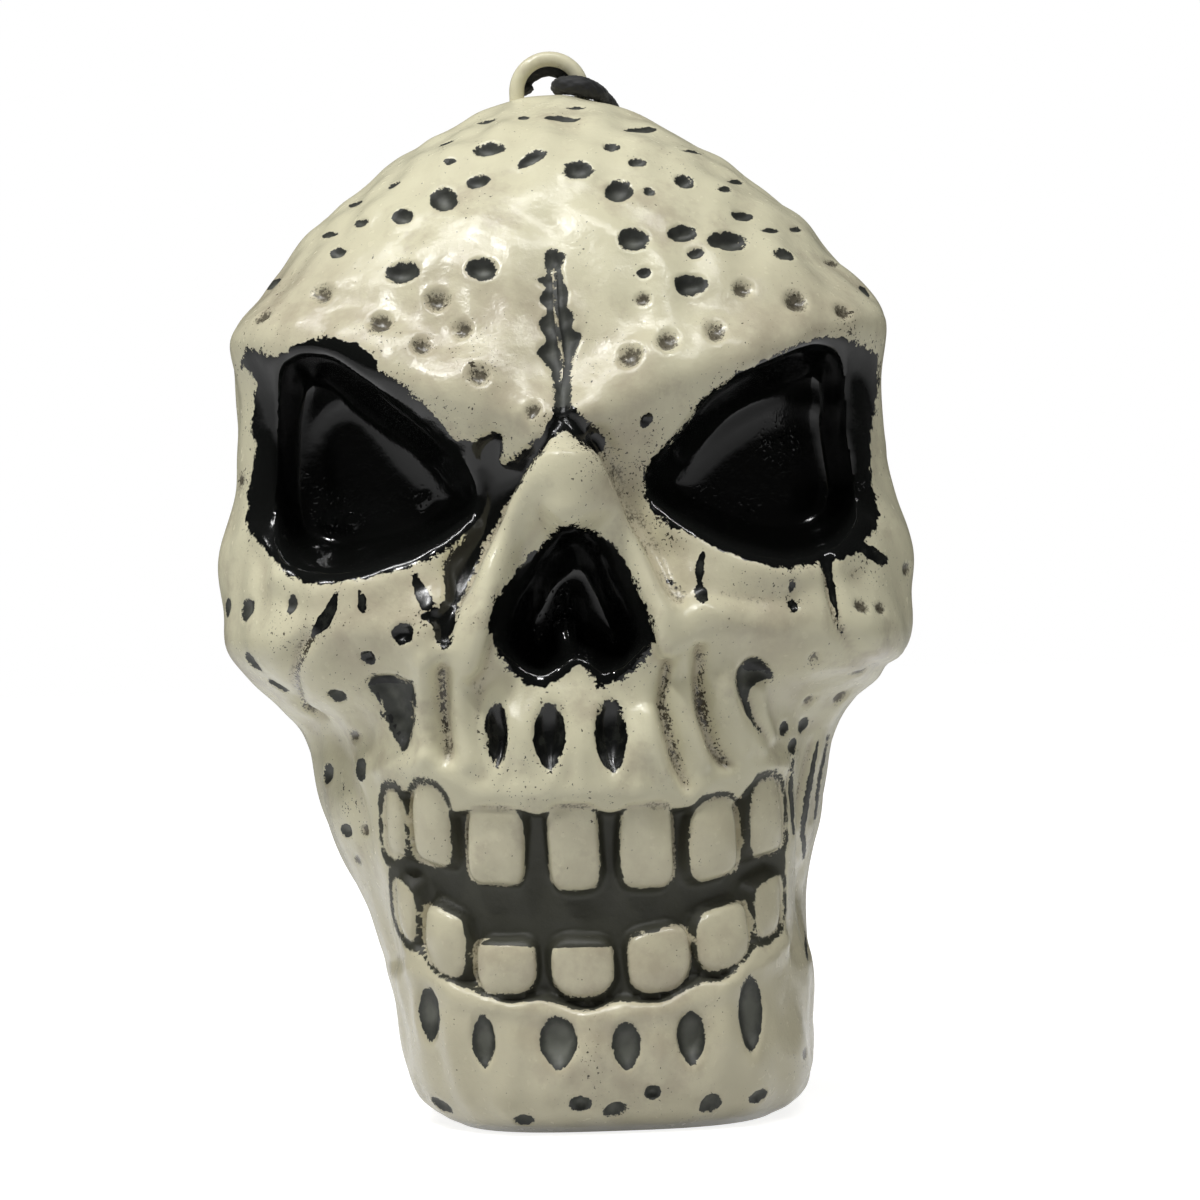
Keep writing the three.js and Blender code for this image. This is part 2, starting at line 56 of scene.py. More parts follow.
# Skull, with the sizes of the solids
SKULL_HEIGHT = 222.0
SKULL_HALF_WIDTH = 70.0
FACE_DEPTH = 66.0
BACK_DEPTH = 76.0
CHIN_DRIFT = 7.0
DRIFT_TOP = 72.0
FRONT_SQUARENESS = 2.25
CHIN_SQUARENESS = 3.0
SQUARE_TOP = 85.0
BACK_SQUARENESS = 2.1
WALL = 2.6
CARVING_ROOM = 0.09  # share by which the inside is drawn in under the carved face
CARVING_FADE = (130.0, 180.0)
CARVING_DEPTH = 25.0
CLEARANCE = 0.3
SEAM = CLEARANCE / 2
LIP_HEIGHT = 3.0
LIP_THICKNESS = 1.6
LIP_ROOT = 1.8
SEAM_FILL = 0.1  # how far the lip's root reaches into the seam

# Outline from base to crown: height, half width, face depth and back depth as shares of their sizes
STATIONS = np.array([
    [0.0, 0.5, 0.833, 0.329], [0.0135, 0.572, 0.917, 0.388], [0.045, 0.629, 0.97, 0.42],
    [0.113, 0.65, 0.985, 0.434], [0.203, 0.688, 0.985, 0.467], [0.279, 0.764, 1.0, 0.526],
    [0.36, 0.822, 1.0, 0.63], [0.428, 0.888, 0.977, 0.75], [0.495, 0.93, 0.955, 0.868],
    [0.572, 0.971, 0.93, 0.96], [0.653, 0.986, 0.924, 1.0], [0.734, 0.975, 0.91, 0.967],
    [0.811, 0.9, 0.84, 0.875], [0.865, 0.78, 0.742, 0.757], [0.905, 0.629, 0.63, 0.63],
    [0.936, 0.5, 0.515, 0.513], [0.971, 0.307, 0.333, 0.316], [0.9937, 0.143, 0.15, 0.145],
    [1.0, 0.0, 0.0, 0.0],
])

# Bony ridges on both halves of the face: ends as (distance from the middle, height), width and rise
RIDGES = [
    ((10, 151), (58, 170), 9, 6.5),
    ((30, 107), (66, 115), 14, 10),
    ((52, 101), (66, 101), 8, 6.5),
    ((66, 168), (66, 128), 9, 3),
    ((0, 149), (0, 131), 7, 8),
    ((5, 135), (20, 103), 6, 4),
    ((0, 80), (22, 78), 16, 2),
    ((0, 13), (26, 13), 9, 1.2),
]
RIDGE_FADE = 18.0

# Sockets, nose and mouth: outlines as points (x, z) on smooth closed curves, the eye on the -X side first
EYE_OPENINGS = [
    [(-59, 156.5), (-56.5, 163), (-48.5, 164), (-39.5, 157.5), (-28, 147.5), (-19.5, 138), (-18.5, 131),
     (-27.5, 123.5), (-38, 120.5), (-48, 119), (-58, 123.5), (-60.5, 132), (-60, 146.5)],
    [(18, 136), (21, 140.5), (31, 151.5), (36, 155), (43.5, 158.5), (54.5, 162.5), (60, 158.5),
     (60.5, 145), (62, 131), (60, 125), (55.5, 121), (49, 119), (42, 119.5), (34, 122.5), (22, 129.5)],
]
EYE_PANES = [
    [(-55, 142), (-53.6, 149.5), (-50.3, 154), (-45.7, 155.6), (-41.9, 154.6), (-38.8, 151.6),
     (-33.3, 144.7), (-23, 132.5), (-32.7, 125.8), (-39, 123.8), (-47, 123), (-51.3, 124.5), (-53.7, 129)],
    [(22, 132.5), (26, 137.7), (33, 144), (39.7, 148.4), (46.4, 151), (53, 151), (56.7, 149), (58, 145),
     (58.5, 139), (58.3, 131), (56, 127), (50.8, 124.2), (42.8, 123.8), (34.3, 126.3), (27, 129)],
]
EYE_FLOOR_DEPTH = 46.0
EYE_FLOOR_START = 15.0
EYE_FLOOR_SLOPE = 0.54
EYE_BOWL = 9.0
PANE_DROP = 1.3
PANE_EDGE = 4.8
NOSE_OPENING = [
    (2, 125), (6, 123.5), (8.5, 119.5), (10.5, 114), (13.5, 108), (14.8, 102), (11.5, 97.8), (7.5, 96.8),
    (4.5, 99), (1, 100.2), (-2.5, 98), (-6, 96.5), (-10, 99.5), (-12, 104), (-10.6, 110), (-6.8, 116.5),
    (-2.5, 122.5),
]
NOSE_FLOOR_DEPTH = 58.0
NOSE_POCKET_DROP = 9.0
NOSE_POCKET_INSET = 3.0
SEPTUM_X = 0.3
SEPTUM_HALF_WIDTH = 2.0
SEPTUM_FADE = (104.0, 116.0)
SEPTUM_SHARE = 0.7
BEVEL = 1.7
BEVEL_POWER = 1.4
BOWL_POWER = 2.2
SOCKET_WALL = 5.0
SOCKET_REACH = 20.0
NOSE_WALL = 2.4
MOUTH = [
    (-39.7, 72.7), (-37.3, 73.9), (-35, 72.5), (-30.3, 74.7), (-26.6, 71.7), (-25.2, 68.3), (-21.3, 68.3),
    (-11, 68.2), (-7.8, 67.2), (-4.5, 67.8), (-0.2, 68.5), (4.7, 67.8), (7.4, 67), (10.6, 67.5), (15, 68),
    (20, 67.2), (25.2, 67.6), (30.2, 69), (34.4, 67.9), (37.3, 71.2), (40.8, 72.7), (43.6, 71.2),
    (44.4, 66.5), (44.2, 60), (44.5, 55), (44.1, 49), (43.4, 43.7), (41.7, 40.7), (37.2, 37.2),
    (31, 31.6), (25, 30.8), (16.8, 27.3), (8.7, 27.9), (1, 26.2), (-7.5, 28.5), (-15, 28.2), (-22.6, 31),
    (-26.4, 32.4), (-31, 36.5), (-34.3, 39.3), (-36.8, 45.4), (-37.9, 52), (-38.5, 57.5), (-39.5, 60),
    (-40.1, 65),
]
MOUTH_DEPTH = 4.0
MOUTH_EDGE = 1.8
MOUTH_ROOM = 0.8
MOUTH_MARGIN = 5.0
# Teeth as (left, right, bottom, top, lean), where lean is how much the tooth climbs towards +X
UPPER_TEETH = [
    (-40.4, -34.9, 57.5, 73.6, -0.3), (-34.6, -25.1, 56, 74.4, -0.22), (-22.9, -9.8, 52, 69, -0.04),
    (-5.7, 5.7, 50.5, 69, -0.02), (9.3, 21.4, 50.5, 68.6, 0.02), (23.7, 35.4, 51.5, 69.5, 0.16),
    (36.7, 44.9, 55.3, 73, 0.25),
]
LOWER_TEETH = [
    (-39, -33.4, 40.5, 54, -0.8), (-32.7, -22.9, 33.5, 48, -0.45), (-22.2, -8.1, 29.5, 41.7, -0.04),
    (-5.8, 7.9, 28.5, 41.4, 0.02), (10, 24, 29, 43, 0.12), (24.6, 36.8, 33, 46.7, 0.26),
    (37.2, 44.2, 38.5, 51.5, 0.5),
]
GUM_POWER = 2.7
SQUARE_TOPS = 23.0  # teeth nearer to the middle than this have square tops
BITE_POWER = 4.5
GUM_GROOVE = 0.3
TOOTH_INSET = 0.8
TOOTH_CROWN = 1.2
# Slots over and under the teeth as (left, right, bottom, top, lean), black over and grey under
ROOT_SLOTS = [(-17.3, -12.7, 77, 90.5, 0.05), (-7.4, -0.8, 76, 90, 0.15), (5.2, 11.9, 75, 90, 0.0)]
CHIN_SLOTS = [
    (-33.8, -29.2, 19, 31, 0.0), (-22.5, -17.6, 14.5, 25.5, 0.05), (-8.4, -0.6, 14, 25, 0.0),
    (6.5, 12.5, 13.5, 23.5, 0.0), (20, 26, 14, 25, 0.0), (33, 38.2, 15.5, 31.5, 0.1),
]
SLOT_TOP_POWER = 2.2
SLOT_FOOT_POWER = 1.5
SLOT_RIM = 0.12
ROOT_SINK = 3.2
CHIN_SINK = 2.0

# Soft forms on top of the ridges: (x, z, half width, half height, rise), sunk where the rise is negative
SWELLS = [
    (-46, 86, 8, 7, -2.0), (47, 88, 8, 8, -2.0), (-64, 104, 7, 7, 1.4), (-49.5, 98.5, 7, 9, 2.0),
    (-42, 106, 6, 4, 0.9), (66, 106, 7, 8, 1.6), (49, 102, 6, 6, 1.3), (-16, 160, 9, 8, 1.2),
    (18, 160, 9, 8, 1.2), (-45, 178, 12, 7, 1.4), (46, 177, 12, 7, 1.6), (-10, 83, 2.2, 9, 1.5),
    (2.2, 82, 2.2, 9, 1.6), (14.2, 81, 2.0, 9, 1.4), (-26, 22, 3, 9, 1.7), (-14, 19, 3.4, 8, 1.7),
    (3, 19, 3, 7, 1.7), (16.5, 19, 3.2, 8, 1.7), (29.5, 22, 3, 9, 1.7), (3, 7, 26, 4, 0.8),
    (-28, 40, 3, 5, 0.5), (2, 131.5, 4.8, 6.5, 4.8), (1, 151, 9, 7, -1.6), (66, 98.5, 9, 5, 2.8),
    (1, 178, 6, 10, -0.9), (60, 92, 9, 8, 2.2), (-61, 93, 9, 8, 1.2), (-0.4, 131, 2.6, 2, 1.2),
    (6.3, 130, 2.6, 2, 1.0), (3, 134.5, 4, 0.8, -0.4),
]
SUTURE_RIB = [(0, 181, 0.3), (0, 172, 0.35), (0.6, 166, 0.4), (1.1, 162, 0.4), (1.1, 157, 0.3)]
# Folds as strokes of points (x, z, width), and their rise: soft ridges, or valleys where it is negative
FOLDS = [
    ([(-1.5, 140.5, 4.4), (-5, 136, 3.5), (-10, 127, 2.6), (-14.5, 118.5, 2.5), (-18.5, 108, 2.5),
      (-20.5, 99, 2.4)], 4.2),
    ([(4.5, 140, 4.4), (7.2, 135, 3.5), (11, 127, 2.6), (15.5, 119, 2.5), (20, 109, 2.5),
      (21, 101, 2.4)], 3.6),
    ([(8.5, 144, 2.6), (12.5, 136.5, 3), (17, 126, 3.2), (23, 113, 3.6)], -3.0),
    ([(-4, 143, 2), (-10.5, 136, 3), (-15, 128.5, 3.2), (-18.5, 121.5, 3), (-22.5, 113, 2.8),
      (-26, 104.5, 2.4)], -2.4),
    ([(21, 125.5, 2), (30.5, 120, 2.2), (38.5, 116.5, 2.4), (46, 114.5, 2.6), (53, 115.5, 2.4),
      (61, 119, 2.4)], 1.5),
    ([(-21, 124, 2), (-30, 118.5, 2.6), (-40, 115.5, 3), (-52, 114.5, 3), (-60, 117.5, 2.4)], 1.6),
    ([(30, 112.5, 2.4), (38, 110.8, 2.8), (47, 110, 2.4)], -1.5),
    ([(29, 108.5, 3), (35.5, 104.5, 3.4), (43, 103, 3)], 1.5),
    ([(54.5, 117.5, 1.2), (56, 111.5, 1.2), (56.5, 104.5, 1.3), (58.5, 100, 1.4), (64, 97, 1.6),
      (70, 97, 1.6)], -1.9),
    ([(39.6, 91, 1.4), (40.4, 86, 1.4), (42.4, 81, 1.1)], 1.6),
    ([(33, 96, 1.8), (33, 90, 1.8), (35.5, 84, 1.8), (39, 79, 1.6)], 1.5),
    ([(20.5, 97, 1.2), (19.3, 89, 1.4), (20.5, 83, 1.5), (22.2, 77, 1.4), (24, 72, 1.1)], -2.6),
    ([(16.2, 87, 1.8), (17.3, 80, 1.8), (19, 74.5, 1.5)], 1.9),
    ([(24, 91, 1.8), (25, 83, 1.9), (27.4, 76.5, 1.7)], 2.2),
    ([(28, 99, 1.3), (27.3, 92, 1.5), (27.9, 86.5, 1.5), (30, 80, 1.4), (32.5, 76, 1.1)], -2.6),
    ([(31.3, 93, 2.2), (32.6, 85, 2.4), (35, 78.5, 2)], 2.4),
    ([(-26, 97, 1.6), (-26, 89.5, 1.8), (-25.5, 80, 1.5)], -2.0),
    ([(-29.5, 99, 2), (-29.8, 90, 2.2), (-29, 80, 2)], 2.1),
    ([(-22, 96, 2), (-21.6, 87, 2.2), (-20.5, 78, 2)], 1.7),
    ([(-53, 105.5, 1.2), (-56, 103, 1.3), (-57.2, 98, 1.4), (-57.5, 92.5, 1.4), (-55, 88, 1.2)], -2.2),
    ([(-55, 86, 3.2), (-49.8, 78.5, 3.2), (-46.3, 69.5, 3), (-44.5, 58, 2.8), (-42.5, 46, 2.8),
      (-40, 36, 2.6)], -2.0),
    ([(53, 82, 2.4), (50, 70, 2.4), (48.8, 58, 2.4), (48.6, 46, 2.4), (47, 36, 2.2)], -1.8),
    ([(-44, 76.5, 2.4), (-36, 78, 2.8), (-28, 77.5, 2.8), (-20, 72, 3), (0, 71.5, 3), (20, 71, 3)], 1.2),
    ([(27, 71.8, 2.6), (37, 75.2, 2.4), (45, 75, 2.2)], 1.3),
    ([(-34, 34.5, 2.2), (-24, 29, 2.2), (0, 24.5, 2.2), (20, 25.5, 2.2), (34, 31, 2.2), (44, 37, 2.2)], 0.9),
    (SUTURE_RIB, 3.2),
]

# Rolled lips on the edges of the sockets and the nose, and runs of thick gloss, as folds on top of those
LIPS = [
    ([(-65, 128, 1.8), (-60, 120.5, 2), (-52.5, 117.6, 2), (-37.5, 119.2, 2), (-27, 122.4, 2),
      (-19.5, 127.4, 1.8)], 1.1),
    ([(20, 129, 1.6), (27, 124.8, 1.8), (34, 121.2, 1.8), (46, 117.8, 1.8), (57, 119.4, 1.8),
      (64, 125.5, 1.8)], 0.9),
    ([(-13.5, 100, 1.3), (-9, 96.4, 1.3), (-5, 95.2, 1.3), (-1, 97, 1.3), (1.5, 98.6, 1.2), (4, 98, 1.2),
      (7.5, 95, 1.3), (12, 96.2, 1.3), (16, 100, 1.3)], 1.0),
    ([(25.5, 129.6, 1.1), (31, 127.3, 1.1)], 0.9),
    ([(58.4, 130.6, 0.8), (59, 131, 0.8)], 0.7),
    ([(63.8, 132.6, 0.8), (64.2, 133, 0.8)], 0.7),
    ([(-50.7, 129.5, 1.2), (-49.5, 129.2, 1.2)], 1.0),
    ([(-46.5, 129.3, 0.9), (-45.5, 129.2, 0.9)], 0.7),
    ([(-30, 132.8, 0.8), (-28.8, 134, 0.8)], 0.6),
    ([(-0.2, 106, 1.6), (-0.2, 103, 1.8)], 2.6),
]

# Pits of the cranium as (x, z, width, height) seen from the front, and for some a tilt in degrees
DEEP_PITS = [
    (-13, 208, 6.5, 3.5), (-15.5, 200.5, 5, 3), (-23, 197, 5.5, 6, 40), (-31.5, 193.5, 4.5, 3.5),
    (-22.5, 210.5, 2.5, 2), (-21.5, 206, 2.5, 1.5), (-4, 205.5, 6.5, 2.5, 35), (-13.5, 215.5, 4, 1.5),
    (-5.5, 215.5, 2.5, 1.2), (3, 215, 7.5, 1.5), (6, 218, 4, 0.8), (-34, 201.5, 2.5, 2),
    (-42.5, 198, 3, 2), (-41, 193, 3, 2), (-53, 194, 4, 1.5), (-48, 191.5, 3.5, 1.5),
    (-46, 186.5, 3.5, 2.5), (-32, 181.5, 7, 4.5), (-15, 181, 6.5, 4.5), (-60.5, 181.5, 3.5, 3),
    (19.5, 212, 7.5, 1.8), (13, 207.5, 3.5, 2), (18.5, 203.5, 4, 2), (6, 202.5, 6, 4), (14, 197, 6, 4.5),
    (21, 197, 2.5, 2), (28, 199.5, 4, 3.5), (30.5, 207, 4, 1.5), (39.5, 200, 4, 1.5), (37, 198, 3, 1.5),
    (40, 191.5, 4.5, 2.5), (17, 186.5, 6.5, 4.5), (27, 187.5, 6, 3.5), (36.5, 186, 7.5, 4.5),
    (30, 183, 3.5, 2), (19, 179, 3, 2), (28, 176.5, 6.5, 4.5), (49, 183, 4, 3), (66.5, 175.5, 2.5, 3, 20),
    (46.5, 188.5, 4, 1.5), (52, 189, 3, 1.5), (-71.5, 161.5, 2, 3.5),
]
SOFT_PITS = [
    (-49.5, 177.5, 5, 5), (-62.5, 174, 4, 4), (-24.5, 174.5, 6, 5), (-36.5, 170.5, 5.5, 4.5),
    (-19.5, 168.5, 4.5, 4), (-28, 165, 5, 4), (-16.5, 158.5, 5.5, 5), (-5, 150.5, 3.5, 4),
    (39.5, 175.5, 4.5, 4), (50.5, 172.5, 5.5, 5), (60.5, 170.5, 4, 4), (18.5, 173.5, 3.5, 3),
    (59.5, 182, 4, 2.5), (23.5, 164.5, 5, 5), (33, 166.5, 5, 5), (15, 161.5, 5.5, 5), (62, 108, 3.5, 3.5),
    (-55.5, 90, 2.5, 3.5), (-46, 84, 3, 3), (51.5, 97, 3, 4), (50.5, 88, 2.5, 3), (-69, 139.5, 2.5, 3),
    (73, 115, 2, 3.5), (-44.2, 64, 2, 3), (-46.5, 57, 2, 3), (66.5, 107, 2.5, 3),
    (61.5, 93.5, 3.5, 2, 20), (58, 88, 2.5, 4, -30), (47.5, 13, 2.5, 3),
]
# Pits of the cheeks, jaw and chin
CHEEK_PITS = [
    (-72.5, 112, 2, 4), (-67.6, 111.5, 2.6, 5, 10), (-57.5, 112.5, 2, 4), (-67, 100, 2.8, 4.5),
    (-62, 95, 2, 4.5), (-48.5, 92.5, 3.5, 3.5), (-45, 77, 2.5, 4.5, 10), (-52.5, 75.5, 2.5, 4, 20),
    (-48.5, 64, 2.5, 3), (49.5, 82.5, 2.2, 3.5), (45, 82.5, 2, 3, 20), (47, 78.5, 2, 3, 20),
    (-30, 5.5, 3.5, 3.5), (-12.5, 3.5, 4.5, 2.5), (-0.5, 7, 4.5, 3), (6.5, 5, 5, 3), (14.5, 8.5, 3.5, 3),
    (26.5, 5.5, 4.5, 4, 30), (37, 6, 3.5, 3),
]
BLACK_PITS = [
    (-33.5, 105.5, 4.2, 4.6), (-41.5, 101, 3, 3), (18.5, 148, 2.6, 3), (47.5, 112.5, 1.4, 2.4),
    (47.8, 108.4, 2, 2.6),
]
# Main pits of the back, as the solids have them
BACK_PITS = [
    (-22, 201, 6, 4), (3, 198, 7, 5), (-40, 183, 6, 5), (-14, 181, 7, 6), (33, 186, 6, 5),
    (-52, 163, 5, 6), (-29, 160, 7, 7), (-4, 163, 6, 6), (41, 164, 7, 6), (-42, 139, 6, 7),
    (-17, 141, 7, 7), (32, 142, 6, 6), (53, 141, 5, 6), (-54, 117, 5, 6), (-28, 116, 7, 6),
    (-3, 119, 6, 7), (44, 118, 7, 7), (-38, 95, 6, 6), (-13, 94, 7, 6), (33, 94, 6, 7), (-24, 73, 6, 6),
    (4, 74, 6, 6), (26, 70, 5, 6),
]
PIT_SINK = 0.45  # depth as a share of the pit's smaller size
PIT_MOST = 1.9
PIT_RIM = 0.07
SOFT_SINK = 0.3
SOFT_RIM = 0.05
FRONT_PULL = 0.02  # prefers the front-most of the places that look alike from the front

# Gentle waviness, as a hand-carved model has
WAVES = 24
WAVE_LENGTHS = (9, 34)
FACE_WAVE = 0.11
BACK_WAVE = 0.08
# Depth under the surroundings at which a hollow gets its full painted shade
HOLLOW_SHADE_DEPTH = 0.35

# Sunk outlines: points (x, z), depth, layer of paint and how solid that paint is, worn where it is below 1
HOLLOWS = [
    ([(-0.8, 150.5), (2.6, 151), (3.8, 147.5), (1, 146.3), (-1.5, 144.6), (-3.5, 142), (-7.5, 137),
      (-11.5, 131), (-16, 124), (-18.5, 118), (-21.5, 112), (-23, 106.5), (-24, 103), (-25.5, 102),
      (-27, 104), (-27.5, 107), (-30, 109), (-26, 111), (-24.5, 114), (-25, 118.5), (-23.5, 122),
      (-20, 126), (-18, 129.5), (-17, 134.5), (-18, 143), (-15, 146), (-12, 145.5), (-12, 140),
      (-8, 142.2), (-4.8, 144.3), (-2.2, 147.7)], 1.3, "crease", 1.0),
    ([(2.4, 151), (5, 148.6), (7.4, 147), (9.6, 145), (9, 141.5), (6.4, 141.7), (3.7, 144), (1.2, 146.5),
      (1, 149)], 0.6, "crease", 1.0),
    ([(-42, 96), (-37, 97), (-32.5, 95), (-32, 91.5), (-32.5, 86), (-34.5, 81.5), (-38.5, 87.5),
      (-39.5, 91.5)], 2.6, "grey", 0.6),
    ([(35, 93), (35.5, 95.5), (38.5, 98), (41, 97), (42.5, 95), (43, 93.5), (41, 93), (39, 92.5),
      (37.8, 91.5), (38, 88), (38.4, 85.5), (39.5, 83), (41.5, 80.5), (38, 84.5),
      (36, 88.5)], 2.2, "grey", 1.2),
    ([(-0.7, 185), (-1.8, 183.5), (-1.8, 179.7), (-3.4, 178.4), (-1.9, 176.6), (-3.5, 174.2), (-1.8, 172),
      (-3.5, 169), (-2.8, 167), (-2, 165.3), (-4, 163), (-2.8, 160.8), (-1, 158.5), (-0.7, 154.5),
      (-0.8, 149.5), (2.6, 149.5), (2.8, 158), (3.8, 162.4), (5.6, 166.2), (3.4, 167.8), (4.1, 170),
      (2.5, 172.7), (3.1, 175.3), (2.2, 177.4), (1.6, 181.2), (2.2, 183.5)], 1.5, "grey", 1.2),
]

# Carved lines as strokes of points (x, z, half width): how deep each is cut, and its layer of paint, if any
CARVED = [
    ([(54.5, 117.5, 1.1), (56, 111.5, 0.8), (56.5, 104.5, 0.4), (58.5, 100.5, 0.2)], 0.8, "marks"),
    ([(53, 79, 0.4), (50.5, 68.5, 0.7), (48.9, 60, 0.6), (50, 50.5, 0.5), (49.5, 43.5, 0.5),
      (49, 32.5, 0.3)], 1.2, "grey"),
    ([(47, 76, 0.3), (46.2, 69, 0.6), (46.6, 60, 0.3)], 0.9, "grey"),
    ([(55.5, 80, 0.3), (53.2, 71, 0.5), (52, 62, 0.3)], 0.9, "grey"),
    ([(-26, 97.5, 0.3), (-26, 89, 0.4), (-25.5, 81, 0.2)], 0.0, None),
    ([(20.5, 96.5, 0.3), (19.4, 89, 0.5), (20.5, 83, 0.6), (22.2, 77, 0.5), (24.2, 71.5, 0.2)], 0.3, None),
    ([(28, 99, 0.2), (27.2, 92, 0.4), (27.9, 86.5, 0.5), (30, 80, 0.4), (32.5, 76, 0.1)], 0.3, None),
    ([(-53, 105, 0.3), (-57, 98, 0.4), (-56.5, 90, 0.3)], 0.2, None),
]
# Dabs of black paint as strokes, without a cut
BLACK_DABS = [
    [(-31, 117, 0.7), (-30, 114.5, 1.3), (-28.5, 111.5, 1.5)],
    [(-47.5, 114.5, 0.5), (-48.3, 111.5, 1.1), (-50.3, 108.5, 1.6), (-53, 105.5, 0.4)],
    [(-42.5, 114.5, 0.4), (-42, 112.5, 1.0), (-42, 110.8, 0.7)],
    [(29, 120, 0.6), (28, 116.5, 1.0), (28, 113.5, 0.5), (28, 112, 1.4), (28.3, 110.8, 1.3)],
    [(62, 121, 0.9), (65, 119, 1.4), (67.5, 117.3, 1.3)],
    [(21.5, 114.5, 0.4), (23.5, 113.3, 0.5)],
    [(-41.5, 95.5, 0.5), (-37.5, 96, 0.8), (-34, 95, 0.3)],
    [(-40, 93, 0.4), (-37.5, 88, 0.5), (-35, 83.5, 0.4)],
    [(37.5, 96, 0.9), (40.5, 96, 0.9), (42, 94.6, 0.5)],
]
# Dabs of the mouth's paint over the tops of the lower teeth
MOUTH_DABS = [
    [(-19.5, 40.6, 0.4), (-14, 40.9, 0.9), (-9.5, 40.4, 0.8)],
    [(-4.5, 40, 0.8), (1, 40.4, 1.1), (6.5, 40, 0.9)],
    [(12, 41.2, 0.3), (17, 42.3, 0.4)],
]
# Rims of the sockets and the nose, where their black paint ends
RIMS = [
    [(-66, 167), (-64, 166.5), (-59, 164.5), (-58, 165.5), (-50, 168), (-44, 167), (-38.5, 164),
     (-36.5, 160), (-33.5, 158), (-29, 154), (-24.5, 149), (-22, 145.5), (-19, 145), (-13, 142),
     (-16, 131), (-19.5, 126), (-27, 121), (-37.5, 118), (-52.5, 116.2), (-59, 119.8), (-63.5, 124.5),
     (-67.5, 129), (-67.5, 135), (-66, 142.5), (-65, 146.5), (-66, 150), (-65, 157.5), (-64, 160),
     (-67.5, 163.5)],
    [(17, 136), (19.5, 140.5), (24.5, 145), (30, 152), (35, 155.5), (42.5, 159.5), (50.5, 163), (59, 165),
     (66.5, 162.5), (69, 160.5), (68.5, 153), (66.5, 143), (66.5, 132.5), (67.5, 126.5), (64.5, 122),
     (59, 118), (51.5, 117), (46, 116), (38.5, 118), (30.5, 121.5), (25, 124.5), (20, 127.5), (18, 131)],
    [(1.5, 126.5), (6, 125.5), (10.5, 122.5), (12, 120), (14.5, 115), (16.5, 110), (18, 104.5),
     (17.5, 100.5), (15, 97), (11.5, 94.5), (7.5, 93), (5.5, 94.5), (3.5, 97), (1, 97.5), (-1, 95),
     (-6, 93.5), (-9.5, 95), (-13, 98.5), (-15.5, 104), (-15.5, 108.5), (-14.6, 111.5), (-12.3, 114.3),
     (-9.4, 118), (-5.8, 121.9), (-2, 125)],
]

# Patches with dense specks, with grime and painted shade, and with uneven drops in the black gloss: (x, z,
# half width)
DUSTY = [
    (32, 103, 6), (21, 128, 5), (23, 88, 6), (30, 88, 5), (-26, 90, 5), (-18, 84, 4), (65, 112, 8),
    (-60, 108, 9), (20, 133, 4), (22, 122, 4), (15, 141, 5), (-20, 150, 5), (-48, 97, 7), (2, 12, 9),
    (46, 74, 6), (-47, 70, 7), (-56, 160, 8), (5, 137, 5), (12, 142, 6), (62, 165, 7),
]
GRIME_AND_SHADE_PATCHES = [
    (-46, 172, 13), (-27, 164, 11), (-10, 156, 9), (14, 158, 9), (42, 166, 12), (58, 170, 8),
    (-44, 107, 12), (-30, 113, 8), (42, 106, 11), (24, 118, 8), (2, 150, 6), (-18, 176, 11), (-2, 170, 9),
    (-3, 17, 15), (20, 15, 15), (14, 35, 14), (-12, 36, 10), (-60, 178, 9), (14, 142, 7), (12, 134, 6),
    (-6, 151, 5),
]
GLOSS_DROPS = [
    (-50, 131, 3), (-46, 129.7, 2), (-29, 133.4, 2), (-53.4, 139, 1.6), (-42, 122.2, 2), (47, 143.5, 3),
    (29, 129.7, 3), (58.3, 130.8, 1.6), (63.7, 133.3, 1.4), (39.4, 128, 2), (34.6, 127.5, 2), (0, 110, 2),
    (-3.6, 106, 2), (3, 100.3, 1.8), (9.3, 101.7, 2), (14, 98.8, 1.8), (-5.7, 103, 1.8), (-1.5, 113, 1.8),
    (-1, 107, 1.6),
]

# Loop, screws and cord, with the sizes of the solids
LOOP_TUBE = 3.3
LOOP_WIDTH = 17.6
LOOP_LEG = (LOOP_WIDTH - LOOP_TUBE) / 2  # distance of each leg from the middle
LOOP_RISE = 10.0
FOOT_LENGTH = 22.0
FOOT_WIDTH = 7.0
FOOT_THICKNESS = 2.4
FOOT_DROP = 2.2
FOOT_ROUNDING = 0.5
FOOT_SQUARENESS = 0.35  # 1 for an oval foot, and less for a squarer one
SCREW_DIAMETER = 3.0
SCREW_HOLE = SCREW_DIAMETER + 2 * CLEARANCE
SCREW_HEAD = 6.2
SCREW_HEAD_HEIGHT = 2.2
SCREW_GRIP = 14.0
SCREW_SEAT = 6.0
RECESS_ARM = 1.75
RECESS_HALF_WIDTH = 0.42
RECESS_DEPTH = 1.5
RECESS_TAPER = 0.55
BOSS_DIAMETER = 9.6
BOSS_MARGIN = 1.0
THROUGH = 90.0  # longer than either half is deep
SCREW_HEIGHTS = {"lower": 22.0, "middle": 95.0, "upper": 163.0}
CORD_DIAMETER = 3.6
CORD_STEP = 0.3
BRAID_STRANDS = 8
BRAID_PITCH = 2.6
BRAID_RELIEF = 0.14
CORD_ROUTE = [
    (11.4, 4.4, 222.1), (12.7, 8, 221.2), (13.7, 12, 220), (14.6, 17, 218.4), (15.4, 23, 216),
    (16, 30, 213), (16.6, 37, 209.6), (17, 45, 204), (17.3, 52.6, 197.6), (17.5, 59.8, 190.4),
    (17.5, 66, 182), (17.5, 70.5, 173), (17.5, 73.8, 163.5), (17.5, 75.8, 154), (17.4, 76.4, 145),
    (17.3, 76.6, 136), (17.2, 76.7, 127), (17.1, 76.7, 118), (17, 76.7, 109), (17, 76.7, 101),
]

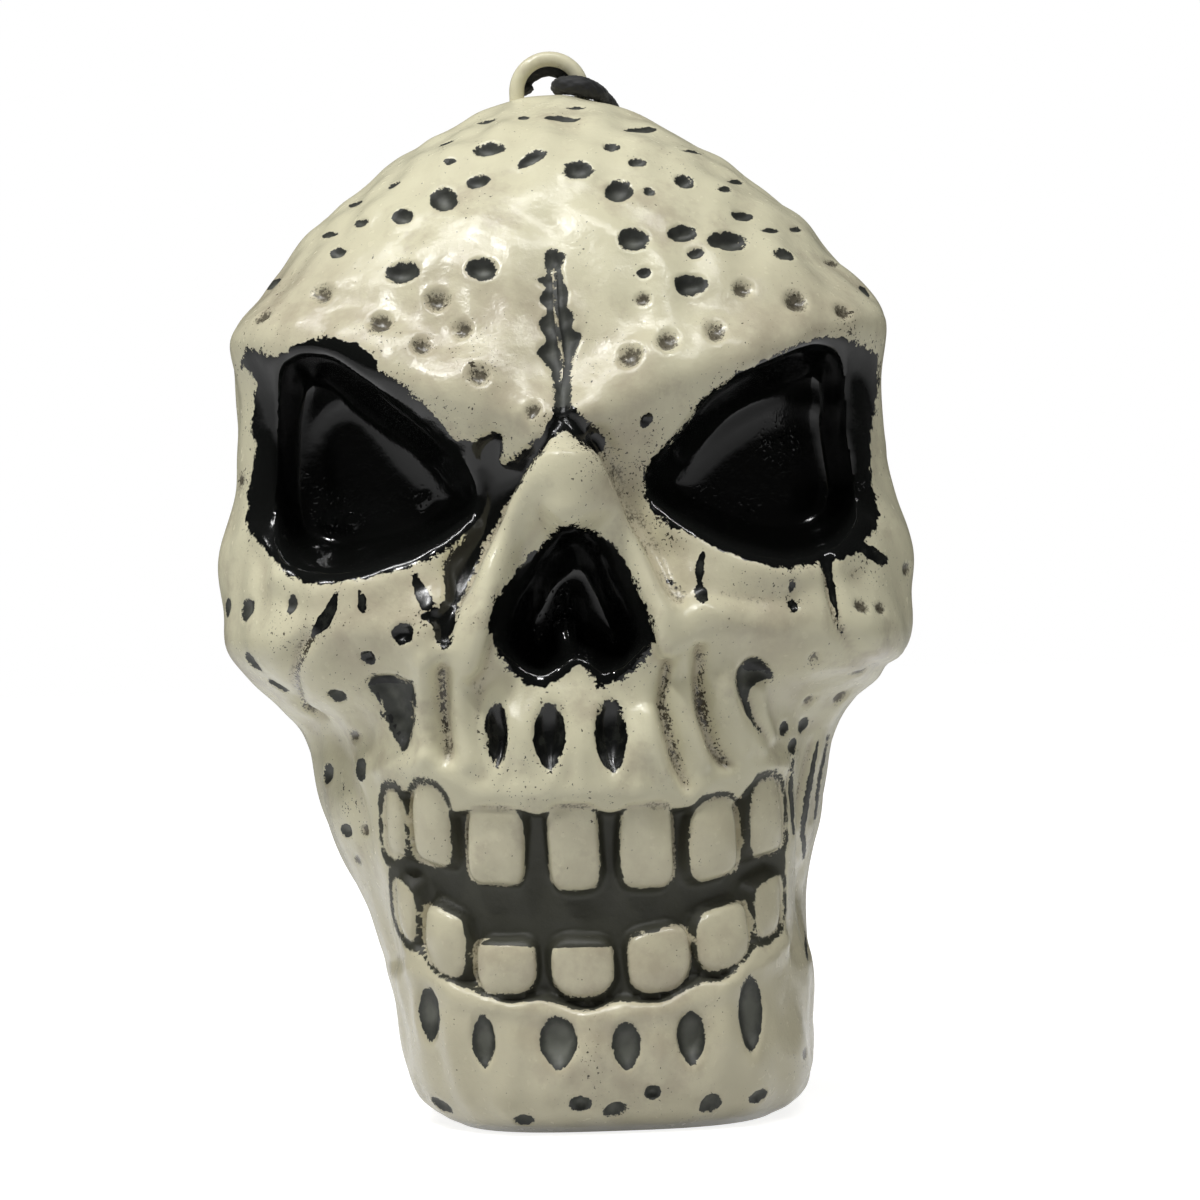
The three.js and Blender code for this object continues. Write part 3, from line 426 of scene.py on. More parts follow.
# Tied end of the cord, from its tip to the start of the free stretch, and where it bulges
KNOT_ROUTE = [
    (-4.9, 2.7, 223.6), (-5.5, 3.3, 225.2), (-4.1, 3.6, 227.2), (-1, 3.7, 228.5), (2.4, 3.7, 228),
    (4.4, 3.6, 226.4), (3.4, 2.4, 224.9), (2.2, 0, 224.1), (2.7, -2.5, 224.1), (4.6, -4.1, 224),
    (7, -4.4, 223.6), (9.3, -3.2, 222.9), (10.8, -0.8, 222.4), (11.2, 1.8, 222.3),
]
END_KNOT = [
    (0, 0, -0.05), (0.1, 0, -2.2), (1.7, -1.3, -4.2), (0.9, -2.4, -6.6), (-1.6, -1.2, -7.4),
    (-2.2, 1.1, -5.2), (-0.2, 2.2, -3.8), (2.1, 1, -5.4), (1, -0.4, -7.8), (-0.3, -0.3, -9.2),
    (-0.6, 0, -10),
]
KNOT_SWELL = 0.22
KNOT_THICKEST = 0.7

# Camera, as the photograph was taken: the frame is 264 mm wide at the seam
CAMERA_X = 7.27
CAMERA_Z = 111.0
CAMERA_DISTANCE = 1100.0
FRAME_WIDTH = 264.0
CAMERA_ROLL = 2.0

# Colours
WHITE = (1, 1, 1, 1)
FLOOR_GREY = (0.6, 0.6, 0.6, 1)
BONE_LIGHT = (0.80, 0.765, 0.555, 1)
BONE_DARK = (0.70, 0.66, 0.465, 1)
# Brown stain, also used as painted shade in hollows, in patches and towards the base
STAIN_AND_SHADE = (0.40, 0.33, 0.24, 1)
# Dark wash, also used as painted shade in hollows
WASH_AND_SHADE = (0.082, 0.071, 0.05, 1)
GREY_EDGE = (0.035, 0.037, 0.031, 1)
GREY = (0.15, 0.155, 0.13, 1)
MOUTH_GREY = (0.046, 0.046, 0.032, 1)
BLACK = (0.006, 0.0065, 0.006, 1)
CORD_DARK = (0.006, 0.006, 0.007, 1)
CORD_LIGHT = (0.028, 0.029, 0.03, 1)
STEEL_DARK = (0.50, 0.50, 0.48, 1)
STEEL_LIGHT = (0.62, 0.61, 0.57, 1)

# Stage in metres and watts: lights as (name, place, height of the aim, size, power, whether gloss mirrors it)
FLOOR_REACH = 6.0
WORLD_LIGHT = 0.1
WORLD_MIRRORED = 0.022
LIGHTS = [
    ("key", (-0.45, -0.65, 1.2), 0.13, (0.14, 0.1), 5.5, True),
    ("strip", (-0.15, -0.4, 1.3), 0.13, (1.8, 0.04), 11.5, True),
    ("left", (-1.4, -0.4, 0.5), 0.11, (0.9, 0.9), 2.9, False),
    ("right", (1.4, -0.4, 0.5), 0.11, (0.9, 0.9), 1.5, False),
    ("back", (0.6, 1.5, 1.0), 0.11, (0.9, 0.9), 5, False),
]

# Facets
FACE_RINGS, FACE_COLUMNS = ((345, 250))
BACK_RINGS, BACK_COLUMNS = ((230, 180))
CAVITY_RINGS, CAVITY_COLUMNS = 90, 70
FRONT_DENSITY = 0.3
CORD_SIDES, LOOP_SIDES, FOOT_SIDES, ROD_SIDES, SCREW_SIDES = 40, 24, 48, 32, 40

# Paint, kept on the meshes as distances in millimetres into each layer, plus the reach
PAINT_REACH = 10.0
SMALL_PAINT = 2.5  # small marks keep their form better against the ragged edge
ROOT_PAINT = 1.6
SIDE_FADE = (8.0, 18.0)  # black paint ends on the sides of the head, at this distance from the seam
SIDE_LOSS = 6.0
TOOTH_EDGE = 0.35

ORIGIN = np.array([0.0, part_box("face_shell")[1][1] / MM + SEAM, 0.0])


# Meshes
def to_frame(points):
    return (np.asarray(points, float) + ORIGIN) * MM


def add(name, data):
    """Puts a mesh, a lamp or a camera into the scene as an object."""
    made = bpy.data.objects.new(name, data)
    bpy.context.collection.objects.link(made)
    return made


def make_piece(name, points, faces):
    mesh = bpy.data.meshes.new(name)
    mesh.from_pydata(to_frame(points).tolist(), [], faces)
    return add(name, mesh)


def combine(target, tool, operation):
    """Cuts or joins one closed mesh with another, which is then removed."""
    modifier = target.modifiers.new(operation, "BOOLEAN")
    modifier.operation = operation
    modifier.solver = "MANIFOLD"
    modifier.object = tool
    settled = target.evaluated_get(bpy.context.evaluated_depsgraph_get())
    old = target.data
    target.data = bpy.data.meshes.new_from_object(settled)
    target.modifiers.clear()
    bpy.data.meshes.remove(old)
    bpy.data.meshes.remove(tool.data)


def shade(piece, angle):
    piece.data.shade_smooth()
    piece.data.set_sharp_from_angle(angle=math.radians(angle))


def joined_parts(parts):
    """Points and faces of several parts as those of one mesh."""
    points, faces, start = [], [], 0
    for part_points, part_faces in parts:
        points.extend(part_points.tolist())
        faces.extend([start + corner for corner in face] for face in part_faces)
        start += len(part_points)
    return points, faces


def skin(rings, endless=False):
    """Points and faces of a closed skin over rings of points, endless or with a flat face at each end."""
    points = np.asarray(rings, float)
    count, sides = points.shape[:2]
    this = np.arange(count * sides).reshape(count, sides)
    ahead = np.roll(this, -1, axis=0)
    quads = np.stack([this, np.roll(this, -1, axis=1), np.roll(ahead, -1, axis=1), ahead], axis=-1)
    ends = [] if endless else [this[0, ::-1].tolist(), this[-1].tolist()]
    return points.reshape(-1, 3), (quads if endless else quads[:-1]).reshape(-1, 4).tolist() + ends


def swept(path, radii, first_side):
    """A closed round tube along a path, with a radius for each ring and side."""
    path = np.asarray(path, float)
    ahead = unit(np.gradient(path, axis=0))
    side = np.empty_like(path)
    current = np.array(first_side, float)
    for i, direction in enumerate(ahead):
        current = unit(current - direction * (current @ direction))
        side[i] = current
    turn = full_turn(radii.shape[1])
    across = side[:, None, :] * (np.cos(turn) * radii)[..., None]
    over = np.cross(ahead, side)[:, None, :] * (np.sin(turn) * radii)[..., None]
    return skin(path[:, None, :] + across + over)


def rod(diameter, start, end):
    return swept([start, end], np.full((2, ROD_SIDES), diameter / 2), (1, 0, 0))


# Curves
def smooth_step(low, high, value):
    share = np.clip((value - low) / (high - low), 0.0, 1.0)
    return share * share * (3.0 - 2.0 * share)


def eased(share, power=BOWL_POWER):
    """A share from 0 to 1 that rises fast and then levels off."""
    return 1 - (1 - np.clip(share, 0, 1)) ** power


def unit(vectors):
    return vectors / np.maximum(np.linalg.norm(vectors, axis=-1, keepdims=True), 1e-12)


def full_turn(steps):
    return np.linspace(0, 2 * math.pi, steps, endpoint=False)


def run_along(points):
    """Length of the way through points up to each of them."""
    return np.concatenate([[0], np.cumsum(np.linalg.norm(np.diff(points, axis=0), axis=1))])


def spline(before, start, end, after, share):
    """A point on the uniform Catmull-Rom curve from start to end."""
    bend = 2 * before - 5 * start + 4 * end - after
    twist = 3 * (start - end) + after - before
    return start + 0.5 * share * (end - before + share * (bend + share * twist))


def closed_curve(points, steps=6):
    corners = np.array(points, float)
    before, end, after = (np.roll(corners, shift, axis=0)[:, None] for shift in (1, -1, -2))
    share = (np.arange(steps) / steps)[None, :, None]
    return spline(before, corners[:, None], end, after, share).reshape(-1, 2)


def open_curve(points, step=CORD_STEP):
    """Points a step apart on the smooth curve through the given ones."""
    corners = np.array(points, float)
    padded = np.concatenate([[2 * corners[0] - corners[1]], corners, [2 * corners[-1] - corners[-2]]])
    share = (np.arange(24) / 24)[None, :, None]
    fine = spline(padded[:-3, None], padded[1:-2, None], padded[2:-1, None], padded[3:, None], share)
    fine = np.concatenate([fine.reshape(-1, 3), corners[-1:]])
    length = run_along(fine)
    places = np.linspace(0, length[-1], max(2, round(length[-1] / step) + 1))
    return np.stack([np.interp(places, length, fine[:, axis]) for axis in range(3)], axis=1)


def nearest_place(x, z, start, end):
    """How far along a straight stretch the nearest place to a point is, as a share, and how far away."""
    dx, dz = end[0] - start[0], end[1] - start[1]
    share = np.clip(((x - start[0]) * dx + (z - start[1]) * dz) / (dx * dx + dz * dz), 0, 1)
    return share, np.hypot(x - start[0] - share * dx, z - start[1] - share * dz)


def inside_distance(x, z, outline, reach=PAINT_REACH):
    """How far a point lies inside a closed outline, negative outside and never below minus the reach."""
    result = np.full(x.shape, -reach)
    low, high = outline.min(axis=0) - reach, outline.max(axis=0) + reach
    near = (x > low[0]) & (x < high[0]) & (z > low[1]) & (z < high[1])
    px, pz = x[near], z[near]
    distance = np.full(px.shape, 10 * reach)
    inside = np.zeros(px.shape, bool)
    for (ax, az), (bx, bz) in zip(outline, np.roll(outline, -1, axis=0)):
        distance = np.minimum(distance, nearest_place(px, pz, (ax, az), (bx, bz))[1])
        if az != bz:
            inside ^= ((az > pz) != (bz > pz)) & (px < ax + (bx - ax) * (pz - az) / (bz - az))
    result[near] = np.maximum(np.where(inside, distance, -distance), -reach)
    return result


def stroke_places(x, z, stroke):
    """Distance from each stretch of a stroke of points (x, z, width), and the stroke's width there."""
    for (ax, az, start_width), (bx, bz, end_width) in zip(stroke, stroke[1:]):
        share, away = nearest_place(x, z, (ax, az), (bx, bz))
        yield away, start_width + share * (end_width - start_width)


def stroke_distance(x, z, stroke):
    """How far a point lies inside a brush stroke of points (x, z, half width), negative outside."""
    depths = [half_width - away for away, half_width in stroke_places(x, z, stroke)]
    return np.maximum(np.max(depths, axis=0), -PAINT_REACH)


def lozenge(x, z, box, top_power, foot_power):
    """Size of the superellipse through a point, where 1 is the box's own, and its smaller half size."""
    left, right, bottom, top, lean = box
    across = (x - (left + right) / 2) / ((right - left) / 2)
    up = (z - (bottom + top) / 2 - lean * (x - (left + right) / 2)) / ((top - bottom) / 2)
    power = np.where(up > 0, top_power, foot_power)
    return (np.abs(across) ** power + np.abs(up) ** power) ** (1 / power), min(right - left, top - bottom) / 2


# Skull surface
def sections(along):
    """Height, half width, face depth and back depth at places along the stations."""
    mirrored = STATIONS[-2] * (1, -1, -1, -1)
    padded = np.vstack([2 * STATIONS[0] - STATIONS[1], STATIONS, mirrored])
    start = np.minimum(np.floor(along).astype(int), len(STATIONS) - 2)
    corners = [padded[start + step] for step in range(4)]
    shares = spline(*corners, (along - start)[:, None])
    return shares * (SKULL_HEIGHT, SKULL_HALF_WIDTH, FACE_DEPTH, BACK_DEPTH)


def section_width(height):
    fine = sections(np.linspace(0, len(STATIONS) - 1, 2000))
    return np.interp(height, fine[:, 0], fine[:, 1])


def drift(height):
    return CHIN_DRIFT * (1 - smooth_step(0, DRIFT_TOP, height))


def ridge_rise(x, z):
    rise = np.zeros(x.shape)
    for start, end, width, height in RIDGES:
        for side in (1,) if start[0] == end[0] == 0 else (-1, 1):
            _, away = nearest_place(x, z, (side * start[0], start[1]), (side * end[0], end[1]))
            rise += height * np.exp(-(away / width) ** 2)
    return rise


def skull_half(front, rings, columns, inset=0.0, ridged=False, density=0.0):
    """One half of the skull as a grid of points, rings from base to crown and columns from seam to seam."""
    fine = np.linspace(0, len(STATIONS) - 1, 4000)
    length = run_along(sections(fine)[:, :3] * (1, math.sqrt(0.5), math.sqrt(0.5)))
    along = np.interp(np.linspace(0, length[-1], rings + 1)[:-1], length, fine)
    height, width, face, back = sections(along).T
    width, depth = (np.maximum(size - inset, 0.05) for size in (width, face if front else back))
    low = 1 - smooth_step(0, SQUARE_TOP, height)
    square = FRONT_SQUARENESS + (CHIN_SQUARENESS - FRONT_SQUARENESS) * low
    power = square if front else np.full(rings, BACK_SQUARENESS)
    angle = np.linspace(0, math.pi, 721) + (math.pi if front else 0)
    cosine, sine = np.cos(angle), np.sin(angle)
    shares = np.linspace(0, 1, columns)
    shares = shares + density * np.sin(2 * math.pi * shares) / (2 * math.pi)
    grid = np.empty((rings, columns, 3))
    for ring in range(rings):
        x = width[ring] * np.sign(cosine) * np.abs(cosine) ** (2 / power[ring])
        y = depth[ring] * np.sign(sine) * np.abs(sine) ** (2 / power[ring])
        run = run_along(np.stack([x, y], axis=1))
        grid[ring, :, 0] = np.interp(shares * run[-1], run, x)
        grid[ring, :, 1] = np.interp(shares * run[-1], run, y)
    grid[:, :, 2] = (inset + height * (1 - 2 * inset / SKULL_HEIGHT))[:, None]
    if ridged:
        x, y, z = np.moveaxis(grid, -1, 0)
        outward = unit(np.stack([x / width[:, None] ** 2, y / depth[:, None] ** 2, 0 * z], axis=-1))
        amount = ridge_rise(x, z) * smooth_step(0, RIDGE_FADE, -y)
        grid += outward * amount[..., None]
    grid[..., 0] += drift(grid[..., 2])
    return grid


def half_mesh(name, grid, seam_y, crown):
    """A closed mesh of half a skull: the grid, the crown's point, the base and the seam's face."""
    rings, columns = grid.shape[:2]
    grid[:, (0, -1), 1] = seam_y
    points = np.concatenate([grid.reshape(-1, 3), [(0, seam_y, crown)]])
    index = np.arange(rings * columns).reshape(rings, columns)
    low, high = index[:-1], index[1:]
    quads = np.stack([low[:, :-1], low[:, 1:], high[:, 1:], high[:, :-1]], axis=-1).reshape(-1, 4).tolist()
    pole = rings * columns
    cap = [(a, b, pole) for a, b in zip(index[-1, :-1].tolist(), index[-1, 1:].tolist())]
    base = index[0, ::-1].tolist()
    seam_face = index[:, 0].tolist() + [pole] + index[::-1, -1].tolist()
    return make_piece(name, points, quads + cap + [base, seam_face])


def along_surface(grid):
    """Directions along the surface at each point, on its ring and up from ring to ring."""
    return unit(np.gradient(grid, axis=1)), unit(np.gradient(grid, axis=0))


def surface_normals(grid):
    return unit(np.cross(*along_surface(grid)))


def raise_surface(grid, rise, from_seam, from_base):
    """Moves a surface outwards, with less and less of it over the distances from the seam and the base."""
    rise = rise * smooth_step(0, from_seam, np.abs(grid[..., 1])) * smooth_step(0, from_base, grid[..., 2])
    grid += surface_normals(grid) * rise[..., None]


def relax(grid, rounds, share=1.0):
    """Rounds off a grid, apart from its edges, by a share at each point."""
    amount = np.broadcast_to(0.5 * np.asarray(share, float), grid.shape[:2])[1:-1, 1:-1, None]
    for _ in range(rounds):
        around = grid[:-2, 1:-1] + grid[2:, 1:-1] + grid[1:-1, :-2] + grid[1:-1, 2:]
        grid[1:-1, 1:-1] += amount * (around / 4 - grid[1:-1, 1:-1])


# Sculpting
RIM_CURVES = [closed_curve(outline, 4) for outline in RIMS]
EYE_CURVES = list(zip(RIM_CURVES, map(closed_curve, EYE_OPENINGS), map(closed_curve, EYE_PANES)))
NOSE_CURVE = RIM_CURVES[2]
NOSE_OPENING_CURVE = closed_curve(NOSE_OPENING)
MOUTH_CURVE = closed_curve(MOUTH, 4)
HOLLOW_CURVES = [(closed_curve(outline, 4), *rest) for outline, *rest in HOLLOWS]
Pit = namedtuple("Pit", "place first second half_wide half_high share")


def eye_floor(x):
    return EYE_FLOOR_SLOPE * (np.abs(x) - EYE_FLOOR_START) - EYE_FLOOR_DEPTH


def nose_floor(x, z, within):
    septum = np.exp(-((x - SEPTUM_X) / SEPTUM_HALF_WIDTH) ** 2) * (1 - smooth_step(*SEPTUM_FADE, z))
    pocket = smooth_step(NOSE_POCKET_INSET - 2, NOSE_POCKET_INSET + 6, within) * (1 - SEPTUM_SHARE * septum)
    return NOSE_POCKET_DROP * pocket - NOSE_FLOOR_DEPTH


def hollow_behind_sockets(grid):
    """Draws the inside in under the carved face, and a wall away behind the sockets, nose and mouth."""
    x, y, z = np.moveaxis(grid, -1, 0)
    share = 1 - CARVING_ROOM * (1 - smooth_step(*CARVING_FADE, z)) * smooth_step(0, CARVING_DEPTH, -y)
    x[...] = drift(z) + (x - drift(z)) * share
    y *= share
    for rim, _, pane in EYE_CURVES:
        bowl = eased((inside_distance(x, z, rim, SOCKET_REACH) + WALL) / EYE_BOWL)
        drop = PANE_DROP * smooth_step(-WALL, 1, inside_distance(x, z, pane, SOCKET_REACH))
        y += bowl * np.maximum(WALL + eye_floor(x) + drop - y, 0)
    within = inside_distance(x, z, NOSE_CURVE, SOCKET_REACH) + WALL
    y += smooth_step(0, WALL, within) * np.maximum(WALL + nose_floor(x, z, within) - y, 0)
    y += (MOUTH_DEPTH + MOUTH_ROOM) * smooth_step(-MOUTH_MARGIN, 0, inside_distance(x, z, MOUTH_CURVE))


def press(y, rim, opening, floor, wall):
    """Moves a surface back, with a bevel from the rim to the opening and then a wall down to the floor."""
    between = np.clip(rim / np.maximum(rim - opening, 0.01), 0, 1)
    y += BEVEL * between ** BEVEL_POWER
    y += eased(opening / wall) * np.maximum(floor - y, 0)


def sink_sockets(grid):
    """Presses the eye sockets and the nose into the face."""
    x, y, z = np.moveaxis(grid, -1, 0)
    smooth, recess = np.zeros(x.shape), np.zeros(x.shape)
    for rim, opening, pane in EYE_CURVES:
        within_opening = inside_distance(x, z, opening, SOCKET_REACH)
        press(y, inside_distance(x, z, rim, SOCKET_REACH), within_opening, eye_floor(x), SOCKET_WALL)
        smooth = np.maximum(smooth, smooth_step(1, 4, within_opening))
        recess += PANE_DROP * eased(inside_distance(x, z, pane, SOCKET_REACH) / PANE_EDGE, 2)
    within = inside_distance(x, z, NOSE_CURVE, SOCKET_REACH)
    within_opening = inside_distance(x, z, NOSE_OPENING_CURVE, SOCKET_REACH)
    press(y, within, within_opening, nose_floor(x, z, within), NOSE_WALL)
    smooth = np.maximum(smooth, 0.6 * smooth_step(0.5, 3, within_opening))
    relax(grid, 12, smooth)
    relax(recess[..., None], 2)
    y += recess
    relax(grid, 2)


def tooth_depths(x, z):
    """How far each point lies inside the nearest tooth, and how far out on that tooth, from 0 to 1."""
    depth, out = np.full(x.shape, -PAINT_REACH), np.ones(x.shape)
    rows = ((UPPER_TEETH, GUM_POWER, BITE_POWER), (LOWER_TEETH, BITE_POWER, GUM_POWER))
    for teeth, top_power, foot_power in rows:
        for tooth in teeth:
            square = abs(tooth[0] + tooth[1]) / 2 < SQUARE_TOPS
            size, half = lozenge(x, z, tooth, BITE_POWER if square else top_power, foot_power)
            inside = (1 - size) * half
            out = np.where(inside > depth, np.minimum(size, 1), out)
            depth = np.maximum(depth, inside)
    return depth, out


def slot_depths(x, z, slots):
    """How far each point lies inside the nearest slot, and its place in it, where 1 is the slot's edge."""
    sizes = [lozenge(x, z, slot, SLOT_TOP_POWER, SLOT_FOOT_POWER) for slot in slots]
    depth = np.max([(1 - size) * half for size, half in sizes], axis=0)
    return np.maximum(depth, -PAINT_REACH), np.min([size for size, _ in sizes], axis=0)


def fold_rise(x, z, folds):
    rise = np.zeros(x.shape)
    for stroke, height in folds:
        nearest = np.min([away / width for away, width in stroke_places(x, z, stroke)], axis=0)
        rise += height * np.exp(-nearest ** 2)
    return rise


def swell_rise(x, z):
    rise = fold_rise(x, z, FOLDS)
    for at_x, at_z, half_wide, half_high, height in SWELLS:
        rise += height * np.exp(-((x - at_x) / half_wide) ** 2 - ((z - at_z) / half_high) ** 2)
    return rise


def uneven(grid, seed, height):
    waves = np.random.default_rng(seed)
    rise = np.zeros(grid.shape[:2])
    for _ in range(WAVES):
        direction = unit(waves.normal(size=3)) * (2 * math.pi / waves.uniform(*WAVE_LENGTHS))
        rise += height * np.sin(grid @ direction + waves.uniform(0, 6.3))
    return rise


def place_pits(grid, pits):
    """Each pit's place on the surface, its directions and half sizes there, and the share of its depth."""
    flat = grid.reshape(-1, 3)
    across, up = (directions.reshape(-1, 3) for directions in along_surface(grid))
    placed = []
    for x, z, width, height, *tilt in pits:
        away = (flat[:, 0] - x) ** 2 + (flat[:, 2] - z) ** 2
        nearest = np.argmin(away - FRONT_PULL * np.abs(flat[:, 1]))
        side, rise = across[nearest], up[nearest]
        seen_wide, seen_high = math.hypot(side[0], side[2]), math.hypot(rise[0], rise[2])
        half_wide, half_high = 0.5 * width / max(seen_wide, 0.4), 0.5 * height / max(seen_high, 0.25)
        turn = math.radians(sum(tilt))
        first = math.cos(turn) * side + math.sin(turn) * rise
        second = math.cos(turn) * rise - math.sin(turn) * side
        share = min(1.0, 1.3 * seen_wide * seen_high)
        placed.append(Pit(flat[nearest], first, second, half_wide, half_high, share))
    return placed


def pit_sizes(points, pit):
    """Which points lie near a pit, and how far out they are, where 1 is its edge."""
    away = points - pit.place
    near = np.flatnonzero((away ** 2).sum(axis=1) < (2.2 * max(pit.half_wide, pit.half_high)) ** 2)
    return near, np.hypot(away[near] @ pit.first / pit.half_wide, away[near] @ pit.second / pit.half_high)


def sink_pits(grid, pits, share, rim):
    flat = grid.reshape(-1, 3)
    sink = np.zeros(len(flat))
    for pit in pits:
        near, size = pit_sizes(flat, pit)
        depth = min(share * pit.share * 2 * min(pit.half_wide, pit.half_high), PIT_MOST)
        sink[near] += depth * (np.clip(1 - size ** 2.4, 0, 1) - rim * np.exp(-((size - 1.25) / 0.3) ** 2))
    raise_surface(grid, -sink.reshape(grid.shape[:2]), 3, 3)


def hollow_shade(grid):
    """How deep each point lies under its surroundings, from 0 to 1, and 0 for the crown's point: the paint
    darkens hollows by it, as painted shade.
    """
    around = grid.copy()
    relax(around, 14)
    hollow_shade_amount = ((around - grid) * surface_normals(grid)).sum(axis=-1)
    return np.append(np.clip(hollow_shade_amount / HOLLOW_SHADE_DEPTH, 0, 1), 0)


def sculpt_face(grid):
    """Gives the front half all its carved forms, and returns its pits for the paint."""
    x, z = grid[..., 0].copy(), grid[..., 2].copy()
    raise_surface(grid, swell_rise(x, z) + uneven(grid, RANDOM_SEED, FACE_WAVE), 8, 6)
    sink_sockets(grid)

    tooth, out = tooth_depths(x, z)
    within = np.maximum(inside_distance(x, z, MOUTH_CURVE), tooth + GUM_GROOVE)
    on_tooth = smooth_step(-0.5, 0.8, tooth)
    sink = MOUTH_DEPTH * smooth_step(-0.3, MOUTH_EDGE, within)
    sink = sink * (1 - on_tooth) + on_tooth * (TOOTH_INSET - TOOTH_CROWN * (1 - out ** 2.5))
    for slots, depth in ((ROOT_SLOTS, ROOT_SINK), (CHIN_SLOTS, CHIN_SINK)):
        _, size = slot_depths(x, z, slots)
        sink += depth * (np.clip(1 - size ** 2, 0, 1) ** 0.8 - SLOT_RIM * np.exp(-((size - 1.3) / 0.3) ** 2))
    for stroke, depth, _ in CARVED:
        sink += depth * smooth_step(-0.6, 1.0, stroke_distance(x, z, stroke))
    for curve, depth, *_ in HOLLOW_CURVES:
        sink += depth * smooth_step(-0.5, 1.8, inside_distance(x, z, curve))
    raise_surface(grid, fold_rise(x, z, LIPS) - sink, 6, 2)
    relax(grid, 1)

    deep, soft, black = (place_pits(grid, pits) for pits in (DEEP_PITS + CHEEK_PITS, SOFT_PITS, BLACK_PITS))
    sink_pits(grid, deep + black, PIT_SINK, PIT_RIM)
    sink_pits(grid, soft, SOFT_SINK, SOFT_RIM)
    return deep, soft, black


# Paint on the meshes
def pit_paint(points, pits):
    depth = np.full(len(points), -PAINT_REACH)
    for pit in pits:
        near, size = pit_sizes(points, pit)
        half = min(pit.half_wide, pit.half_high)
        depth[near] = np.maximum(depth[near], (1.05 - size) * half * np.clip(3.2 / half, 1, SMALL_PAINT))
    return depth


def patches(x, z, places):
    return sum(np.exp(-((x - at_x) ** 2 + (z - at_z) ** 2) / half ** 2) for at_x, at_z, half in places)


def store(piece, name, values):
    layer = piece.data.attributes.new(name, "FLOAT", "POINT")
    layer.data.foreach_set("value", np.asarray(values, np.float32))


def store_layer(piece, name, depth):
    store(piece, name, np.clip(depth, -PAINT_REACH, PAINT_REACH) + PAINT_REACH)


def piece_points(piece):
    flat = np.empty(len(piece.data.vertices) * 3)
    piece.data.vertices.foreach_get("co", flat)
    return flat.reshape(-1, 3) / MM - ORIGIN


def mouth_paint(x, z, tooth):
    """The mouth's paint, which also outlines the teeth, apart from the square tops of the upper ones."""
    within = inside_distance(x, z, MOUTH_CURVE)
    square_top = (np.abs(x) < SQUARE_TOPS) & (z > UPPER_TEETH[3][2])
    within = np.where(square_top, within, np.maximum(within, tooth + TOOTH_EDGE))
    return np.minimum(within + 0.1, TOOTH_EDGE - tooth)


def paint_face(piece, deep, soft, black_pits):
    points = piece_points(piece)
    x, z = points[:, 0], points[:, 2]
    side = 1 - smooth_step(*SIDE_FADE, -points[:, 1])
    tooth, _ = tooth_depths(x, z)
    layers = {
        "sockets": [inside_distance(x, z, curve) for curve in RIM_CURVES],
        "crease": [],
        "marks": [ROOT_PAINT * slot_depths(x, z, ROOT_SLOTS)[0], pit_paint(points, black_pits)],
        "grey": [pit_paint(points, deep), SMALL_PAINT * slot_depths(x, z, CHIN_SLOTS)[0]],
        "mouth": [mouth_paint(x, z, tooth)],
    }
    for layer, dabs in (("marks", BLACK_DABS), ("mouth", MOUTH_DABS)):
        layers[layer] += [SMALL_PAINT * stroke_distance(x, z, dab) for dab in dabs]
    for curve, _, layer, strength in HOLLOW_CURVES:
        layers[layer].append(strength * inside_distance(x, z, curve))
    off_rib = 0.1 - 2.2 * stroke_distance(x, z, SUTURE_RIB)
    layers["grey"] = [np.minimum(np.max(layers["grey"], axis=0), off_rib)]
    wash = 0.3 * np.exp(-np.clip(tooth, 0, 9) / 1.2) * (tooth > -0.5)
    dust = patches(x, z, DUSTY)
    for stroke, _, layer in CARVED:
        depth = stroke_distance(x, z, stroke) - 0.5 * SIDE_LOSS * side
        if layer:
            layers[layer].append(SMALL_PAINT * depth)
        else:
            wash = np.maximum(wash, 0.5 * smooth_step(-1.3, 0.6, depth))
            dust += 4 * smooth_step(-1.2, 0.3, depth)
    for pit in soft:
        near, size = pit_sizes(points, pit)
        wash[near] = np.maximum(wash[near], 0.9 * np.exp(-(size / 0.95) ** 2))
        dust[near] += 2.5 * np.exp(-size ** 2)

    depths = {layer: np.max(found, axis=0) for layer, found in layers.items()}
    sockets, crease, marks = (depths[layer] - SIDE_LOSS * side for layer in ("sockets", "crease", "marks"))
    store_layer(piece, "black", np.max([sockets, crease, marks], axis=0))
    for layer in ("grey", "mouth"):
        store_layer(piece, layer, depths[layer])
    satin = np.maximum(smooth_step(-1, 1, marks), 0.5 * smooth_step(-1, 1, crease))
    store(piece, "satin", satin * (1 - smooth_step(-1, 1, sockets)))
    store(piece, "wash", wash)
    store(piece, "dust", dust)
    store(piece, "drops", patches(x, z, GLOSS_DROPS))
    # Grime with painted shade, in patches and over the teeth
    store(piece, "grime_and_shade", np.clip(patches(x, z, GRIME_AND_SHADE_PATCHES) + 0.5 * smooth_step(-0.2, 0.6, tooth), 0, 1))


